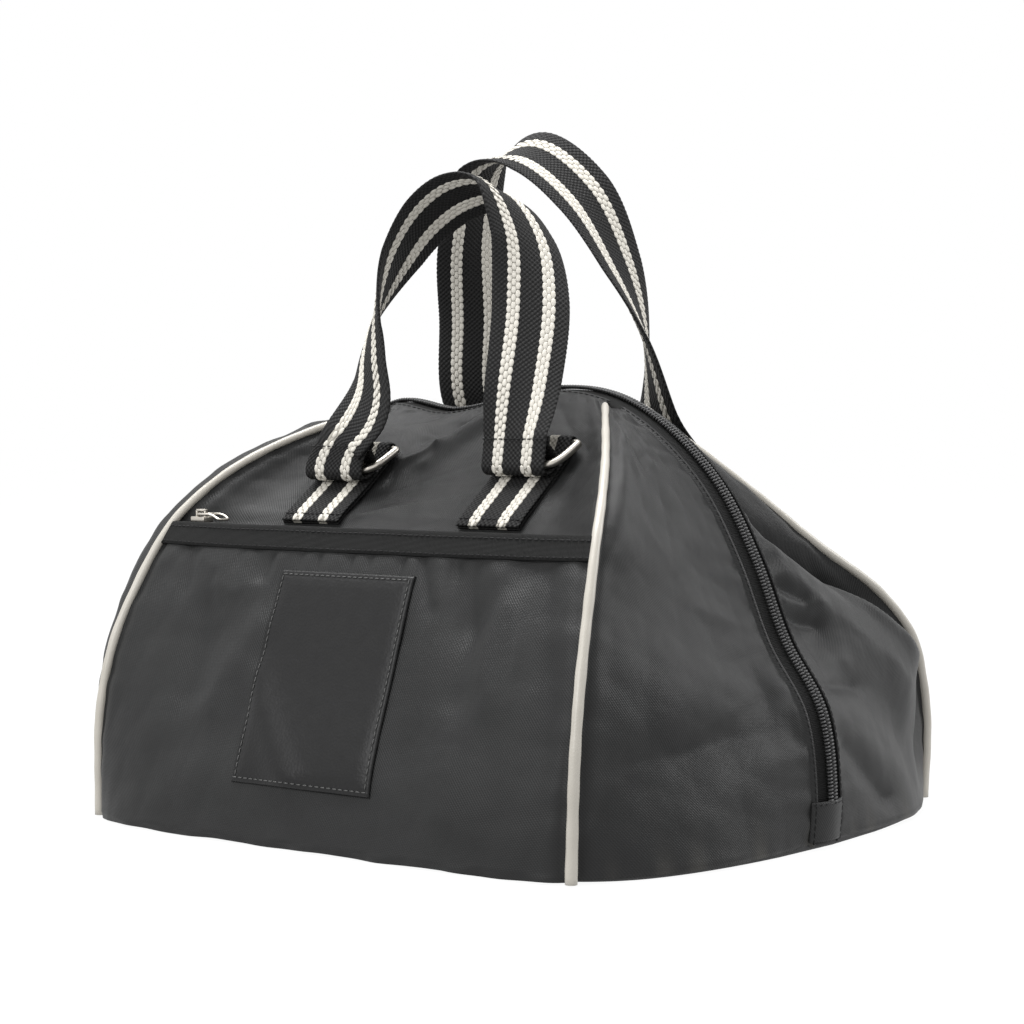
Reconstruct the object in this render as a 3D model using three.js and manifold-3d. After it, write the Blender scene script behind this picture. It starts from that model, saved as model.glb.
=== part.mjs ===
// Riding helmet bag: a soft nylon bag with a zip arching over it from side to side,
// two leaning panels, four side gussets, cream piping, a front pocket and two webbing handles.
// Millimetres, +Z up. The origin is on the floor under the zip's middle. The front faces -Y.
import * as THREE from 'three';
import { mergeVertices } from 'three/addons/utils/BufferGeometryUtils.js';
import Module from 'manifold-3d';

// Driving sizes
const GAP = 0.3;
const CLOTH = 1.3;
const BASE = { halfLength: 146, halfDepth: 144.5, centreY: 6.5, power: 5, sideBulge: 13, thickness: 3 };
const BOW_POWER = 4;
const HEM = { squareness: 3, sway: 0.03 };
const FLOOR_OF_WALLS = BASE.thickness + GAP;
const PIPING_RADIUS = 1.8;
const ZIP = { halfWidth: 10.5, chainHalfWidth: 4, tape: 1, chain: 2.2, chainProud: 0.9, edgeDrop: 2.5, endHeight: 18 };
const WEBBING = { width: 32, thickness: 1.8, tabThickness: 1.3 };
const RING = { halfWidth: 18.3, bowDepth: 17, barDepth: 2.5, wireRadius: 1.7, bowPower: 4, barPower: 8 };
const TAB_X = { front: { right: 47, left: -47 }, back: { right: 40, left: -54 } };
const FLAT_HALF_WIDTH = 71;
const POCKET = { layerGap: 2, bindingHeight: 9, binding: 1, zipHalfLength: 107, chainWidth: 4 };
const PATCH = { width: 71, bottomShare: 0.165, topShare: 0.86, thickness: 1.6, columns: 6, rows: 7 };
const PULL = { length: 15, width: 6.4, wire: 0.6, bendAt: 9, bendDrop: 2.2 };

// The right front seam, from the base to the zip
const FRONT_SEAM = [
  { x: 125.3, y: -125, z: FLOOR_OF_WALLS },
  { x: 126, y: -124, z: 44 },
  { x: 124.3, y: -118.5, z: 72 },
  { x: 121.5, y: -111.3, z: 91 },
  { x: 113.6, y: -93.8, z: 124 },
  { x: 106, y: -80, z: 138 },
  { x: 92.5, y: -59, z: 153 },
  { x: 74.5, y: -34, z: 167 },
  { x: 59, y: -13, z: 175.4 },
];
const POCKET_TOP_ROW = 4;
// Above the pocket the left seams stand this much higher
const LEFT_RISE = 2.2;

// The right back seam: this half of the bag has slumped, so it bulges low and sinks higher up
const BACK_SEAM = [
  { x: 128, y: 134.5, z: FLOOR_OF_WALLS },
  { x: 125.5, y: 142, z: 30 },
  { x: 124.5, y: 140, z: 52 },
  { x: 124, y: 131.5, z: 72 },
  { x: 119, y: 111, z: 93 },
  { x: 108, y: 74, z: 116 },
  { x: 91, y: 49, z: 139 },
  { x: 73, y: 29.5, z: 159 },
  { x: 59, y: 13, z: 175.2 },
];

// Middle lines of the pocket, of the panel above it and of the back panel
const POCKET_MIDDLE = [
  { y: -136.5, z: FLOOR_OF_WALLS },
  { y: -134, z: 27 },
  { y: -120, z: 66 },
  { y: -106, z: 106 },
  { y: -98.5, z: 124 },
];
const FRONT_MIDDLE = [
  { y: -75, z: 123 },
  { y: -54, z: 141.2 },
  { y: -31, z: 162 },
  { y: -10.8, z: 176.6 },
];
const BACK_MIDDLE = [
  { y: 150.5, z: FLOOR_OF_WALLS },
  { y: 160, z: 30 },
  { y: 157, z: 52 },
  { y: 146, z: 72 },
  { y: 121, z: 94 },
  { y: 80, z: 119 },
  { y: 53, z: 143 },
  { y: 31, z: 163 },
  { y: 10.8, z: 176.6 },
];

// The zip's arch from the right foot over the top to the left foot. Its crown sags left of the middle.
const ZIP_ARCH = [
  { x: 159, z: FLOOR_OF_WALLS },
  { x: 160, z: 22 },
  { x: 155, z: 54 },
  { x: 138, z: 81 },
  { x: 124, z: 113 },
  { x: 106, z: 143 },
  { x: 80, z: 167 },
  { x: 56, z: 179 },
  { x: 30, z: 182.5 },
  { x: 0, z: 178 },
  { x: -30, z: 173.5 },
  { x: -62, z: 177.5 },
  { x: -84, z: 168 },
  { x: -107, z: 143 },
  { x: -124, z: 113 },
  { x: -138, z: 81 },
  { x: -155, z: 54 },
  { x: -160, z: 22 },
  { x: -159, z: FLOOR_OF_WALLS },
];

// Folds and dents. Each runs straight between two points of a panel, given as shares of its
// breadth (from piping to zip on a gusset, from seam to seam on a panel) and of its height.
// A positive depth sinks the cloth, a negative one lifts it. Sizes are in millimetres.
const FRONT_GUSSET_FOLDS = {
  right: [
    { from: [0.05, 0.07], to: [0.85, 0.3], depth: 3.5, spread: 15 },
    { from: [0.1, 0.45], to: [0.75, 0.5], depth: 2, spread: 32 },
    { from: [0.12, 0.55], to: [0.12, 0.9], depth: -3, spread: 15 },
  ],
  left: [
    { from: [0.1, 0.4], to: [0.1, 0.8], depth: -6, spread: 13 },
    { from: [0.05, 0.07], to: [0.85, 0.3], depth: 3.5, spread: 15 },
  ],
};
const SLUMPED_FOLDS = [
  { from: [0.1, 0.45], to: [0.8, 0.72], depth: 13, spread: 21 },
  { from: [0.05, 0.27], to: [0.95, 0.66], depth: -5, spread: 15 },
  { from: [0.35, 0.12], to: [0.95, 0.4], depth: 4, spread: 16 },
];
const BACK_GUSSET_FOLDS = { right: SLUMPED_FOLDS, left: SLUMPED_FOLDS };
const FRONT_PANEL_FOLDS = [
  { from: [0.44, 0.5], to: [0.55, 0.86], depth: -2.5, spread: 6 },
  { from: [0.36, 0.8], to: [0.5, 0.92], depth: 3, spread: 9 },
];
const BACK_PANEL_FOLDS = [
  { from: [0.15, 0.5], to: [0.85, 0.47], depth: 5, spread: 24 },
];
const POCKET_FOLDS = [
  { from: [0.78, 0.72], to: [0.88, 0.93], depth: 2, spread: 9 },
  { from: [0.6, 0.12], to: [0.85, 0.24], depth: 1, spread: 13 },
];

// Middle line of each handle above its loops, from the right leg over the top to the left leg.
// turn is the webbing's twist: its width lies along X at 0 and 180 degrees, and along Y at 90.
// tilt tips the edge that lies to the right at the right leg's foot, up or down.
const FRONT_HANDLE = [
  { x: 46, y: -52, z: 182, turn: 24, tilt: 0 },
  { x: 42, y: -41, z: 217, turn: 42, tilt: -4 },
  { x: 34, y: -36, z: 245, turn: 70, tilt: -12 },
  { x: 20, y: -38, z: 263.5, turn: 86, tilt: -20 },
  { x: 4, y: -41, z: 263, turn: 92, tilt: -27 },
  { x: -10, y: -45, z: 254, turn: 98, tilt: -27 },
  { x: -20.5, y: -50, z: 238, turn: 108, tilt: -24 },
  { x: -31, y: -54, z: 210, turn: 140, tilt: -16 },
  { x: -33.5, y: -58, z: 182, turn: 162, tilt: -6 },
];
const BACK_HANDLE = [
  { x: 42, y: 50, z: 174, turn: 26, tilt: -4 },
  { x: 37.5, y: 46, z: 207, turn: 57, tilt: -8 },
  { x: 28.5, y: 40, z: 237, turn: 83, tilt: -20 },
  { x: 12.5, y: 33, z: 269, turn: 101, tilt: -32 },
  { x: -14, y: 28, z: 288, turn: 104, tilt: -30 },
  { x: -34, y: 25, z: 282, turn: 104, tilt: -18 },
  { x: -47, y: 30, z: 252, turn: 115, tilt: -8 },
  { x: -53, y: 39, z: 216, turn: 142, tilt: 0 },
  { x: -55.5, y: 43, z: 180, turn: 154, tilt: 0 },
];

// Finishes
const FINISH = {
  cloth: { color: 0x303033, roughness: 0.62, metalness: 0 },
  baseCloth: { color: 0x232325, roughness: 0.75, metalness: 0 },
  piping: { color: 0xded8cc, roughness: 0.45, metalness: 0 },
  ribbon: { color: 0x242426, roughness: 0.8, metalness: 0 },
  coil: { color: 0x1c1c1e, roughness: 0.5, metalness: 0 },
  webbing: { color: 0x1f1f21, roughness: 0.85, metalness: 0 },
  leather: { color: 0x19191a, roughness: 0.42, metalness: 0 },
  metal: { color: 0xb9b2a6, roughness: 0.32, metalness: 1 },
};

const X_AXIS = new THREE.Vector3(1, 0, 0);
const INSIDE = new THREE.Vector3(0, BASE.centreY, 60);
const { lerp, smoothstep } = THREE.MathUtils;
const bag = new THREE.Group();

function addPiece(name, geometry, finish) {
  const piece = new THREE.Mesh(geometry, new THREE.MeshStandardMaterial(finish));
  piece.name = name;
  bag.add(piece);
}

function curveThrough(rows) {
  const points = rows.map(({ x = 0, y = 0, z }) => new THREE.Vector3(x, y, z));
  return new THREE.CatmullRomCurve3(points, false, 'centripetal');
}

function evenly(count, from = 0, to = 1) {
  return Array.from({ length: count + 1 }, (_, i) => lerp(from, to, i / count));
}

// Closed bodies from rings of points

// Joins rings of points into a body. Both sides of a ring are split alike, so a wall is evenly thick.
// An open row of rings is capped by strips between the ring's two sides.
function loft(rings, closed = false) {
  const count = rings[0].length;
  const index = [];
  const spans = closed ? rings.length : rings.length - 1;
  for (let i = 0; i < spans; i += 1) {
    const here = i * count;
    const next = ((i + 1) % rings.length) * count;
    for (let j = 0; j < count; j += 1) {
      const k = (j + 1) % count;
      const [a, b, c, d] = [here + j, here + k, next + k, next + j];
      if (j < count / 2) index.push(a, b, c, a, c, d);
      else index.push(a, b, d, b, c, d);
    }
  }
  if (!closed) {
    const last = (rings.length - 1) * count;
    for (let j = 0; j < count / 2 - 1; j += 1) {
      const across = count - 1 - j;
      index.push(j, across, across - 1, j, across - 1, j + 1);
      index.push(last + j, last + j + 1, last + across - 1, last + j, last + across - 1, last + across);
    }
  }
  const points = rings.flat();
  if (signedVolume(points, index) < 0) index.reverse();
  const geometry = new THREE.BufferGeometry();
  geometry.setFromPoints(points);
  geometry.setIndex(index);
  return geometry;
}

function signedVolume(points, index) {
  let volume = 0;
  for (let i = 0; i < index.length; i += 3) {
    const [a, b, c] = [points[index[i]], points[index[i + 1]], points[index[i + 2]]];
    volume += a.dot(b.clone().cross(c)) / 6;
  }
  return volume;
}

// Outward normals of a grid of points
function normalsOf(grid) {
  const rows = grid.length;
  const columns = grid[0].length;
  const normals = grid.map((row, i) => row.map((_, j) => {
    const along = row[Math.min(j + 1, columns - 1)].clone().sub(row[Math.max(j - 1, 0)]);
    const up = grid[Math.min(i + 1, rows - 1)][j].clone().sub(grid[Math.max(i - 1, 0)][j]);
    return along.cross(up).normalize();
  }));
  const [i, j] = [rows >> 1, columns >> 1];
  const outward = grid[i][j].clone().sub(INSIDE).dot(normals[i][j]) < 0 ? -1 : 1;
  return normals.map((row) => row.map((normal) => normal.multiplyScalar(outward)));
}

// Walls stay on the base and clear of the zip
function clearOfZip(point) {
  const reach = Math.max(Math.abs(point.y), ZIP.halfWidth + GAP);
  return point.set(point.x, Math.sign(point.y) * reach, Math.max(point.z, FLOOR_OF_WALLS));
}

function offsetGrid(grid, distance) {
  const normals = normalsOf(grid);
  return grid.map((row, i) => row.map((point, j) => (
    clearOfZip(point.clone().addScaledVector(normals[i][j], distance))
  )));
}

// A wall of cloth between two distances from a grid of points
function wall(grid, low, high) {
  const inner = offsetGrid(grid, low);
  const outer = offsetGrid(grid, high);
  return loft(outer.map((row, i) => [...row, ...inner[i].slice().reverse()]));
}

// How far the folds sink the cloth at one place of a panel
function foldDepth(folds, breadth, height, u, t) {
  const here = new THREE.Vector3(u * breadth, t * height, 0);
  return folds.reduce((sum, fold) => {
    const ends = [fold.from, fold.to].map(([a, b]) => new THREE.Vector3(a * breadth, b * height, 0));
    const nearest = new THREE.Line3(...ends).closestPointToPoint(here, true, new THREE.Vector3());
    return sum + fold.depth * Math.exp(-((nearest.distanceTo(here) / fold.spread) ** 2));
  }, 0);
}

function folded(grid, shareAt, folds, breadth, height) {
  const normals = normalsOf(grid);
  return grid.map((row, i) => row.map((point, j) => {
    const [u, t] = shareAt(i, j);
    const fade = Math.min(1, 8 * Math.min(u, 1 - u), 8 * Math.min(t, 1 - t));
    const depth = foldDepth(folds, breadth, height, u, t) * Math.max(0, fade);
    return point.clone().addScaledVector(normals[i][j], -depth);
  }));
}

// A flat ribbon along a path. acrossAt gives the direction of its width at each point.
function ribbon(path, acrossAt, width, thickness) {
  return loft(path.map((point, i) => {
    const tangent = path[Math.min(i + 1, path.length - 1)].clone().sub(path[Math.max(i - 1, 0)]).normalize();
    const across = acrossAt(i).clone();
    across.addScaledVector(tangent, -across.dot(tangent)).normalize();
    const through = across.clone().cross(tangent);
    const corner = (a, b) => point.clone()
      .addScaledVector(across, (a * width) / 2)
      .addScaledVector(through, (b * thickness) / 2);
    return [corner(-1, 1), corner(1, 1), corner(1, -1), corner(-1, -1)];
  }));
}

// Base

// The base is a rounded square whose two sides bulge. share runs from its middle to its front or back.
const sideBulge = (share) => BASE.sideBulge * (1 - share ** 2) ** 2;

function baseHalfLengthAt(y) {
  const share = Math.abs(y - BASE.centreY) / BASE.halfDepth;
  return BASE.halfLength * (1 - share ** BASE.power) ** (1 / BASE.power) + sideBulge(share);
}

function baseOutline() {
  const bend = (value) => Math.sign(value) * Math.abs(value) ** (2 / BASE.power);
  return evenly(72, 0, 2 * Math.PI).slice(0, -1).map((angle) => {
    const [along, across] = [bend(Math.cos(angle)), bend(Math.sin(angle))];
    const x = BASE.halfLength * along + Math.sign(along) * sideBulge(across);
    return new THREE.Vector2(x, BASE.centreY + BASE.halfDepth * across);
  });
}

const basePlate = new THREE.ExtrudeGeometry(new THREE.Shape(baseOutline()), {
  depth: BASE.thickness,
  bevelEnabled: false,
});
addPiece('base', basePlate, FINISH.baseCloth);

// Zip arch

const zipArch = curveThrough(ZIP_ARCH);
const ZIP_STEPS = 40;

function archNormal(u) {
  const tangent = zipArch.getTangentAt(u);
  return new THREE.Vector3(tangent.z, 0, -tangent.x);
}

// A point of the zip's band: y runs across it and lift stands off it
function onZip(u, y, lift) {
  const drop = ZIP.edgeDrop * (y / ZIP.halfWidth) ** 2;
  const point = zipArch.getPointAt(u).addScaledVector(archNormal(u), lift - drop);
  return point.set(point.x, y, Math.max(point.z, FLOOR_OF_WALLS));
}

// The arch's share of length where a test on its point turns true, by halving
function shareWhere(test, low, high) {
  let [no, yes] = [low, high];
  for (let i = 0; i < 40; i += 1) {
    const middle = (no + yes) / 2;
    if (test(zipArch.getPointAt(middle))) yes = middle;
    else no = middle;
  }
  return yes;
}

const shareAtX = (x) => shareWhere((point) => point.x < x, 0, 1);
const rightEnd = shareWhere((point) => point.z > ZIP.endHeight, 0, 0.3);
const leftEnd = shareWhere((point) => point.z > ZIP.endHeight, 1, 0.7);
const SLIDER_LENGTH = 12;
const lengthShare = (length) => length / zipArch.getLength();

// A strip of the zip's band between two distances across it
function zipStrip(shares, ys, low, high) {
  return loft(shares.map((u) => [
    ...ys.map((y) => onZip(u, y, high)),
    ...ys.slice().reverse().map((y) => onZip(u, y, low)),
  ]));
}

const TAPE_TOP = -0.6;
const tapeShares = evenly(ZIP_STEPS, rightEnd + lengthShare(GAP), leftEnd - lengthShare(GAP));
for (const [name, side] of [['front', -1], ['back', 1]]) {
  const ys = [side * (ZIP.chainHalfWidth + GAP), side * ZIP.halfWidth];
  addPiece(`zip_tape_${name}`, zipStrip(tapeShares, ys, TAPE_TOP - ZIP.tape, TAPE_TOP), FINISH.ribbon);
}

const chainFrom = rightEnd + lengthShare(GAP);
const chainTo = leftEnd - lengthShare(SLIDER_LENGTH + 2 * GAP);
const chainYs = [-ZIP.chainHalfWidth, ZIP.chainHalfWidth];
const chainLow = ZIP.chainProud - ZIP.chain;
addPiece('zip_chain', zipStrip(evenly(ZIP_STEPS, chainFrom, chainTo), chainYs, chainLow, ZIP.chainProud), FINISH.coil);

for (const [name, foot, end] of [['right', 0, rightEnd], ['left', 1, leftEnd]]) {
  const ys = [-ZIP.halfWidth, 0, ZIP.halfWidth];
  addPiece(`zip_end_${name}`, zipStrip(evenly(3, foot, end), ys, -CLOTH, 0), FINISH.cloth);
}

// Booleans on closed bodies

const wasm = await Module();
wasm.setup();

function toSolid(geometry) {
  const bare = geometry.clone();
  bare.deleteAttribute('normal');
  bare.deleteAttribute('uv');
  const merged = mergeVertices(bare, 1e-4);
  return new wasm.Manifold(new wasm.Mesh({
    numProp: 3,
    vertProperties: new Float32Array(merged.attributes.position.array),
    triVerts: new Uint32Array(merged.index.array),
  }));
}

function joined(...geometries) {
  const mesh = geometries.map(toSolid).reduce((sum, solid) => sum.add(solid)).getMesh();
  const geometry = new THREE.BufferGeometry();
  geometry.setAttribute('position', new THREE.BufferAttribute(new Float32Array(mesh.vertProperties), 3));
  geometry.setIndex([...mesh.triVerts]);
  return geometry;
}

function block(low, high) {
  const size = high.map((value, i) => value - low[i]);
  const middle = high.map((value, i) => (value + low[i]) / 2);
  return new THREE.BoxGeometry(...size).translate(...middle);
}

// Main zip's slider, parked at the left end: a body between the tapes with a plain pull lying down on it
const parked = zipArch.getPointAt(leftEnd - lengthShare(GAP));
const sliderBody = block([-1.2, -ZIP.chainHalfWidth, 0], [2.2, ZIP.chainHalfWidth, SLIDER_LENGTH]);
const sliderPull = block([1.6, -2.5, 4], [3.2, 2.5, 27]);
const slider = joined(sliderBody, sliderPull);
slider.rotateY(-Math.atan2(archNormal(leftEnd).z, -archNormal(leftEnd).x));
slider.scale(-1, 1, 1);
slider.translate(parked.x, 0, parked.z);
slider.index.array.reverse();
addPiece('zip_slider', slider, FINISH.metal);

// Seams, piping and gussets

const seams = { front: curveThrough(FRONT_SEAM), back: curveThrough(BACK_SEAM) };
const RISE_FROM = FRONT_SEAM[POCKET_TOP_ROW].z;
const RISE_TO = FRONT_SEAM[FRONT_SEAM.length - 1].z;

function leftRise(z) {
  const share = THREE.MathUtils.clamp((z - RISE_FROM) / (RISE_TO - RISE_FROM), 0, 1);
  return LEFT_RISE * Math.sin(Math.PI * share) ** 2;
}

// A point or direction of a right seam, carried over to one side of the bag
function mirrored(point, side) {
  return new THREE.Vector3(point.x * side, point.y, point.z + (side < 0 ? leftRise(point.z) : 0));
}

const SEAM_CLEARANCE = PIPING_RADIUS + 2 * GAP;
const GUSSET_TOP_X = 66;
const GUSSET = { columns: 8, rows: 17 };
const PIPING = { sides: 8, steps: 20 };

// How much of the base's outward curve is left at a share of the gusset's height
const flare = (t) => 0.8 * Math.exp(-t / 0.17) + 0.2 * (1 - t);

function gussetPoint(face, side, v, t) {
  const seam = mirrored(seams[face].getPointAt(t), side);
  const towards = face === 'front' ? -1 : 1;
  const [foot, top] = side > 0 ? [0, shareAtX(GUSSET_TOP_X)] : [1, shareAtX(-GUSSET_TOP_X)];
  const zipEdge = onZip(lerp(foot, top, t), towards * (ZIP.halfWidth + GAP), 0);
  const seamFoot = seams[face].getPointAt(0);
  const zipFoot = onZip(0, towards * (ZIP.halfWidth + GAP), 0);
  const straight = lerp(seamFoot.x, zipFoot.x, v);
  const curved = baseHalfLengthAt(lerp(seamFoot.y, zipFoot.y, v));
  const point = seam.lerp(zipEdge, v);
  point.x += side * flare(t) * (curved - straight) * Math.sin(Math.PI * v) ** 0.5;
  return point;
}

function gussetGrid(face, side, folds) {
  const heights = evenly(GUSSET.rows);
  const shares = heights.map((t) => {
    const breadth = gussetPoint(face, side, 1, t).sub(gussetPoint(face, side, 0, t));
    const awayFromSeam = breadth.cross(mirrored(seams[face].getTangentAt(t), side)).length();
    return evenly(GUSSET.columns, SEAM_CLEARANCE / awayFromSeam, 1);
  });
  const grid = heights.map((t, i) => shares[i].map((v) => gussetPoint(face, side, v, t)));
  return folded(grid, (i, j) => [shares[i][j], heights[i]], folds, 115, 235);
}

function pipingTube(face, side) {
  const seam = seams[face];
  const shares = evenly(PIPING.steps, PIPING_RADIUS / seam.getLength(), 1);
  const points = shares.map((t) => mirrored(seam.getPointAt(t), side));
  const circle = evenly(PIPING.sides, 0, 2 * Math.PI).slice(0, -1).map((angle) => new THREE.Vector2(
    PIPING_RADIUS * Math.cos(angle),
    PIPING_RADIUS * Math.sin(angle),
  ));
  return new THREE.ExtrudeGeometry(new THREE.Shape(circle), {
    steps: PIPING.steps,
    bevelEnabled: false,
    extrudePath: new THREE.CatmullRomCurve3(points, false, 'centripetal'),
  });
}

const SIDES = [['right', 1], ['left', -1]];
for (const [face, folds] of [['front', FRONT_GUSSET_FOLDS], ['back', BACK_GUSSET_FOLDS]]) {
  for (const [name, side] of SIDES) {
    addPiece(`gusset_${face}_${name}`, wall(gussetGrid(face, side, folds[name]), -CLOTH, 0), FINISH.cloth);
    addPiece(`piping_${face}_${name}`, pipingTube(face, side), FINISH.piping);
  }
}

// Pocket and panels

const lowerSeam = curveThrough(FRONT_SEAM.slice(0, POCKET_TOP_ROW + 1));
const upperSeam = curveThrough(FRONT_SEAM.slice(POCKET_TOP_ROW));
const pocketMiddle = curveThrough(POCKET_MIDDLE);
const frontMiddle = curveThrough(FRONT_MIDDLE);
const backMiddle = curveThrough(BACK_MIDDLE);
const PANEL = { columns: 16, lowerRows: 9, upperRows: 10, backRows: 17 };

// A point between the two seams of a panel at x, where bend is the share of the way to the seam
function between(seam, middle, x, bend) {
  return new THREE.Vector3(x, lerp(middle.y, seam.y, bend), lerp(middle.z, seam.z, bend));
}

// The pocket bows out between its seams. Its hem is squarer and swings forward on the left.
function pocketPoint(f, t) {
  const seam = lowerSeam.getPointAt(t);
  const low = (1 - t) ** 2;
  const bend = Math.abs(f) ** (BOW_POWER + HEM.squareness * low);
  const point = between(seam, pocketMiddle.getPointAt(t), seam.x * f, bend);
  point.y += HEM.sway * low * (1 - bend) * point.x;
  return point;
}

// A panel hangs flat behind the tabs and turns to the seam beyond them. Its top edge follows the zip.
function hungPoint(seamCurve, middleCurve, towards, f, t) {
  const seam = mirrored(seamCurve.getPointAt(t), f < 0 ? -1 : 1);
  seam.x = Math.abs(seam.x);
  const x = seam.x * f;
  const flat = Math.min(FLAT_HALF_WIDTH, 0.8 * seam.x);
  const beyond = Math.max(0, Math.abs(x) - flat) / (seam.x - flat);
  const point = between(seam, middleCurve.getPointAt(t), x, beyond ** 1.6);
  const topSeam = seamCurve.getPointAt(1);
  const topEdge = onZip(shareAtX(topSeam.x * f), towards * (ZIP.halfWidth + GAP), 0);
  const topMiddle = middleCurve.getPointAt(1);
  const pull = smoothstep(t, 0.72, 1);
  point.y += pull * (topEdge.y - topMiddle.y);
  point.z += pull * (topEdge.z - topMiddle.z);
  return point;
}

// The front panel stands a cloth's thickness behind the pocket at the seam
function upperFrontPoint(f, t) {
  const point = hungPoint(upperSeam, frontMiddle, -1, f, t);
  point.y += POCKET.layerGap * (1 - smoothstep(t, 0, 0.12));
  return point;
}

function lowerFrontPoint(f, t) {
  const point = pocketPoint(f, t);
  const depthAtTop = upperFrontPoint(f, 0).y - pocketPoint(f, 1).y;
  point.y += lerp(POCKET.layerGap, depthAtTop, t);
  return point;
}

const backPoint = (f, t) => {
  const hung = hungPoint(seams.back, backMiddle, 1, f, t);
  const seam = seams.back.getPointAt(t);
  const bowed = between(seam, backMiddle.getPointAt(t), seam.x * f, Math.abs(f) ** BOW_POWER);
  return bowed.lerp(hung, smoothstep(t, 0.35, 0.55));
};

function panelGrid(pointAt, seamCurve, heights, sink = 0) {
  return heights.map((t) => {
    const awayFromSeam = Math.sqrt(1 - seamCurve.getTangentAt(t).x ** 2);
    const edge = 1 - SEAM_CLEARANCE / awayFromSeam / seamCurve.getPointAt(t).x;
    return evenly(PANEL.columns, -edge, edge).map((f) => pointAt(f, t).add(new THREE.Vector3(0, sink, 0)));
  });
}

const shareOfPanel = (rows) => (i, j) => [j / PANEL.columns, i / (rows - 1)];

const lowerGrid = panelGrid(lowerFrontPoint, lowerSeam, evenly(PANEL.lowerRows));
const upperGrid = panelGrid(upperFrontPoint, upperSeam, evenly(PANEL.upperRows));
const upperFolded = folded(upperGrid, shareOfPanel(upperGrid.length), FRONT_PANEL_FOLDS, 190, 118);
addPiece('front_panel', wall([...lowerGrid.slice(0, -1), ...upperFolded], -CLOTH, 0), FINISH.cloth);

const backGrid = panelGrid(backPoint, seams.back, evenly(PANEL.backRows));
const backFolded = folded(backGrid, shareOfPanel(backGrid.length), BACK_PANEL_FOLDS, 220, 250);
addPiece('back_panel', wall(backFolded, -CLOTH, 0), FINISH.cloth);

const pocketGrid = panelGrid(pocketPoint, lowerSeam, evenly(PANEL.lowerRows));
const pocketFolded = folded(pocketGrid, shareOfPanel(pocketGrid.length), POCKET_FOLDS, 240, 125);
addPiece('pocket', wall(pocketFolded, -CLOTH, 0), FINISH.cloth);

// Ribbon along the pocket's top
const bindingFrom = 1 - POCKET.bindingHeight / pocketMiddle.getLength();
const bindingGrid = panelGrid(pocketPoint, lowerSeam, [bindingFrom, 1]);
addPiece('pocket_binding', wall(bindingGrid, GAP, GAP + POCKET.binding), FINISH.ribbon);

// Leather patch in the middle of the pocket
const patchGrid = evenly(PATCH.rows, PATCH.bottomShare, PATCH.topShare).map((t) => {
  const edge = PATCH.width / 2 / lowerSeam.getPointAt(t).x;
  return evenly(PATCH.columns, -edge, edge).map((f) => pocketPoint(f, t));
});
addPiece('patch', wall(patchGrid, GAP, GAP + PATCH.thickness), FINISH.leather);

// Pocket's zip: a ledge of tape from the pocket's top back to the panel, with the chain along its middle
const zipXs = evenly(18, -POCKET.zipHalfLength, POCKET.zipHalfLength);
const LEDGE = { front: -1.2, back: 0.8, thickness: 1 };

function ledgeAt(x) {
  const f = x / lowerSeam.getPointAt(1).x;
  const pocketTop = pocketPoint(f, 1);
  const panelFoot = upperFrontPoint(f, 0);
  return {
    front: new THREE.Vector3(x, pocketTop.y + CLOTH + 2 * GAP, pocketTop.z + LEDGE.front),
    back: new THREE.Vector3(x, panelFoot.y - 2 * GAP, panelFoot.z + LEDGE.back),
  };
}

function ledgeStrip(xs, from, to, low, high) {
  return loft(xs.map((x) => {
    const { front, back } = ledgeAt(x);
    const at = (share, lift) => front.clone().lerp(back, share).add(new THREE.Vector3(0, 0, lift));
    return [at(from(x), low), at(to(x), low), at(to(x), high), at(from(x), high)];
  }));
}

const always = (value) => () => value;
addPiece('pocket_zip_tape', ledgeStrip(zipXs, always(0), always(1), -LEDGE.thickness, 0), FINISH.ribbon);

const SLIDER = { x: -100, length: 8, width: 6, height: 2.4 };
const ledgeDepth = (x) => ledgeAt(x).back.y - ledgeAt(x).front.y;
const chainHalfShare = (x) => Math.min(0.4, POCKET.chainWidth / 2 / ledgeDepth(x));
const chainStart = SLIDER.x + SLIDER.length / 2 + GAP;
const chainXs = [chainStart, ...zipXs.filter((x) => x > chainStart + 2 && x < POCKET.zipHalfLength - 2)];
const pocketChain = ledgeStrip(chainXs, (x) => 0.5 - chainHalfShare(x), (x) => 0.5 + chainHalfShare(x), GAP, GAP + 0.9);
addPiece('pocket_zip_chain', pocketChain, FINISH.coil);

// Pocket's slider: a body with a bridge over it, and an open pull whose end bar turns under the bridge
const seat = ledgeAt(SLIDER.x).front.lerp(ledgeAt(SLIDER.x).back, 0.5);
const sliderFloor = seat.z + GAP + 1.2;
const bridgeTop = sliderFloor + SLIDER.height + 3.2;
const half = SLIDER.length / 2;
const bridge = [
  block([seat.x - half + 1, seat.y - 1, sliderFloor + 1], [seat.x - half + 2, seat.y + 1, bridgeTop]),
  block([seat.x + half - 2, seat.y - 1, sliderFloor + 1], [seat.x + half - 1, seat.y + 1, bridgeTop]),
  block([seat.x - half + 1, seat.y - 1, bridgeTop - 1], [seat.x + half - 1, seat.y + 1, bridgeTop]),
];
const body = block(
  [seat.x - half, seat.y - SLIDER.width / 2, sliderFloor],
  [seat.x + half, seat.y + SLIDER.width / 2, sliderFloor + SLIDER.height],
);
addPiece('pocket_slider', joined(body, ...bridge), FINISH.metal);

const pivot = new THREE.Vector3(seat.x, seat.y, sliderFloor + SLIDER.height + 1.1);

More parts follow.
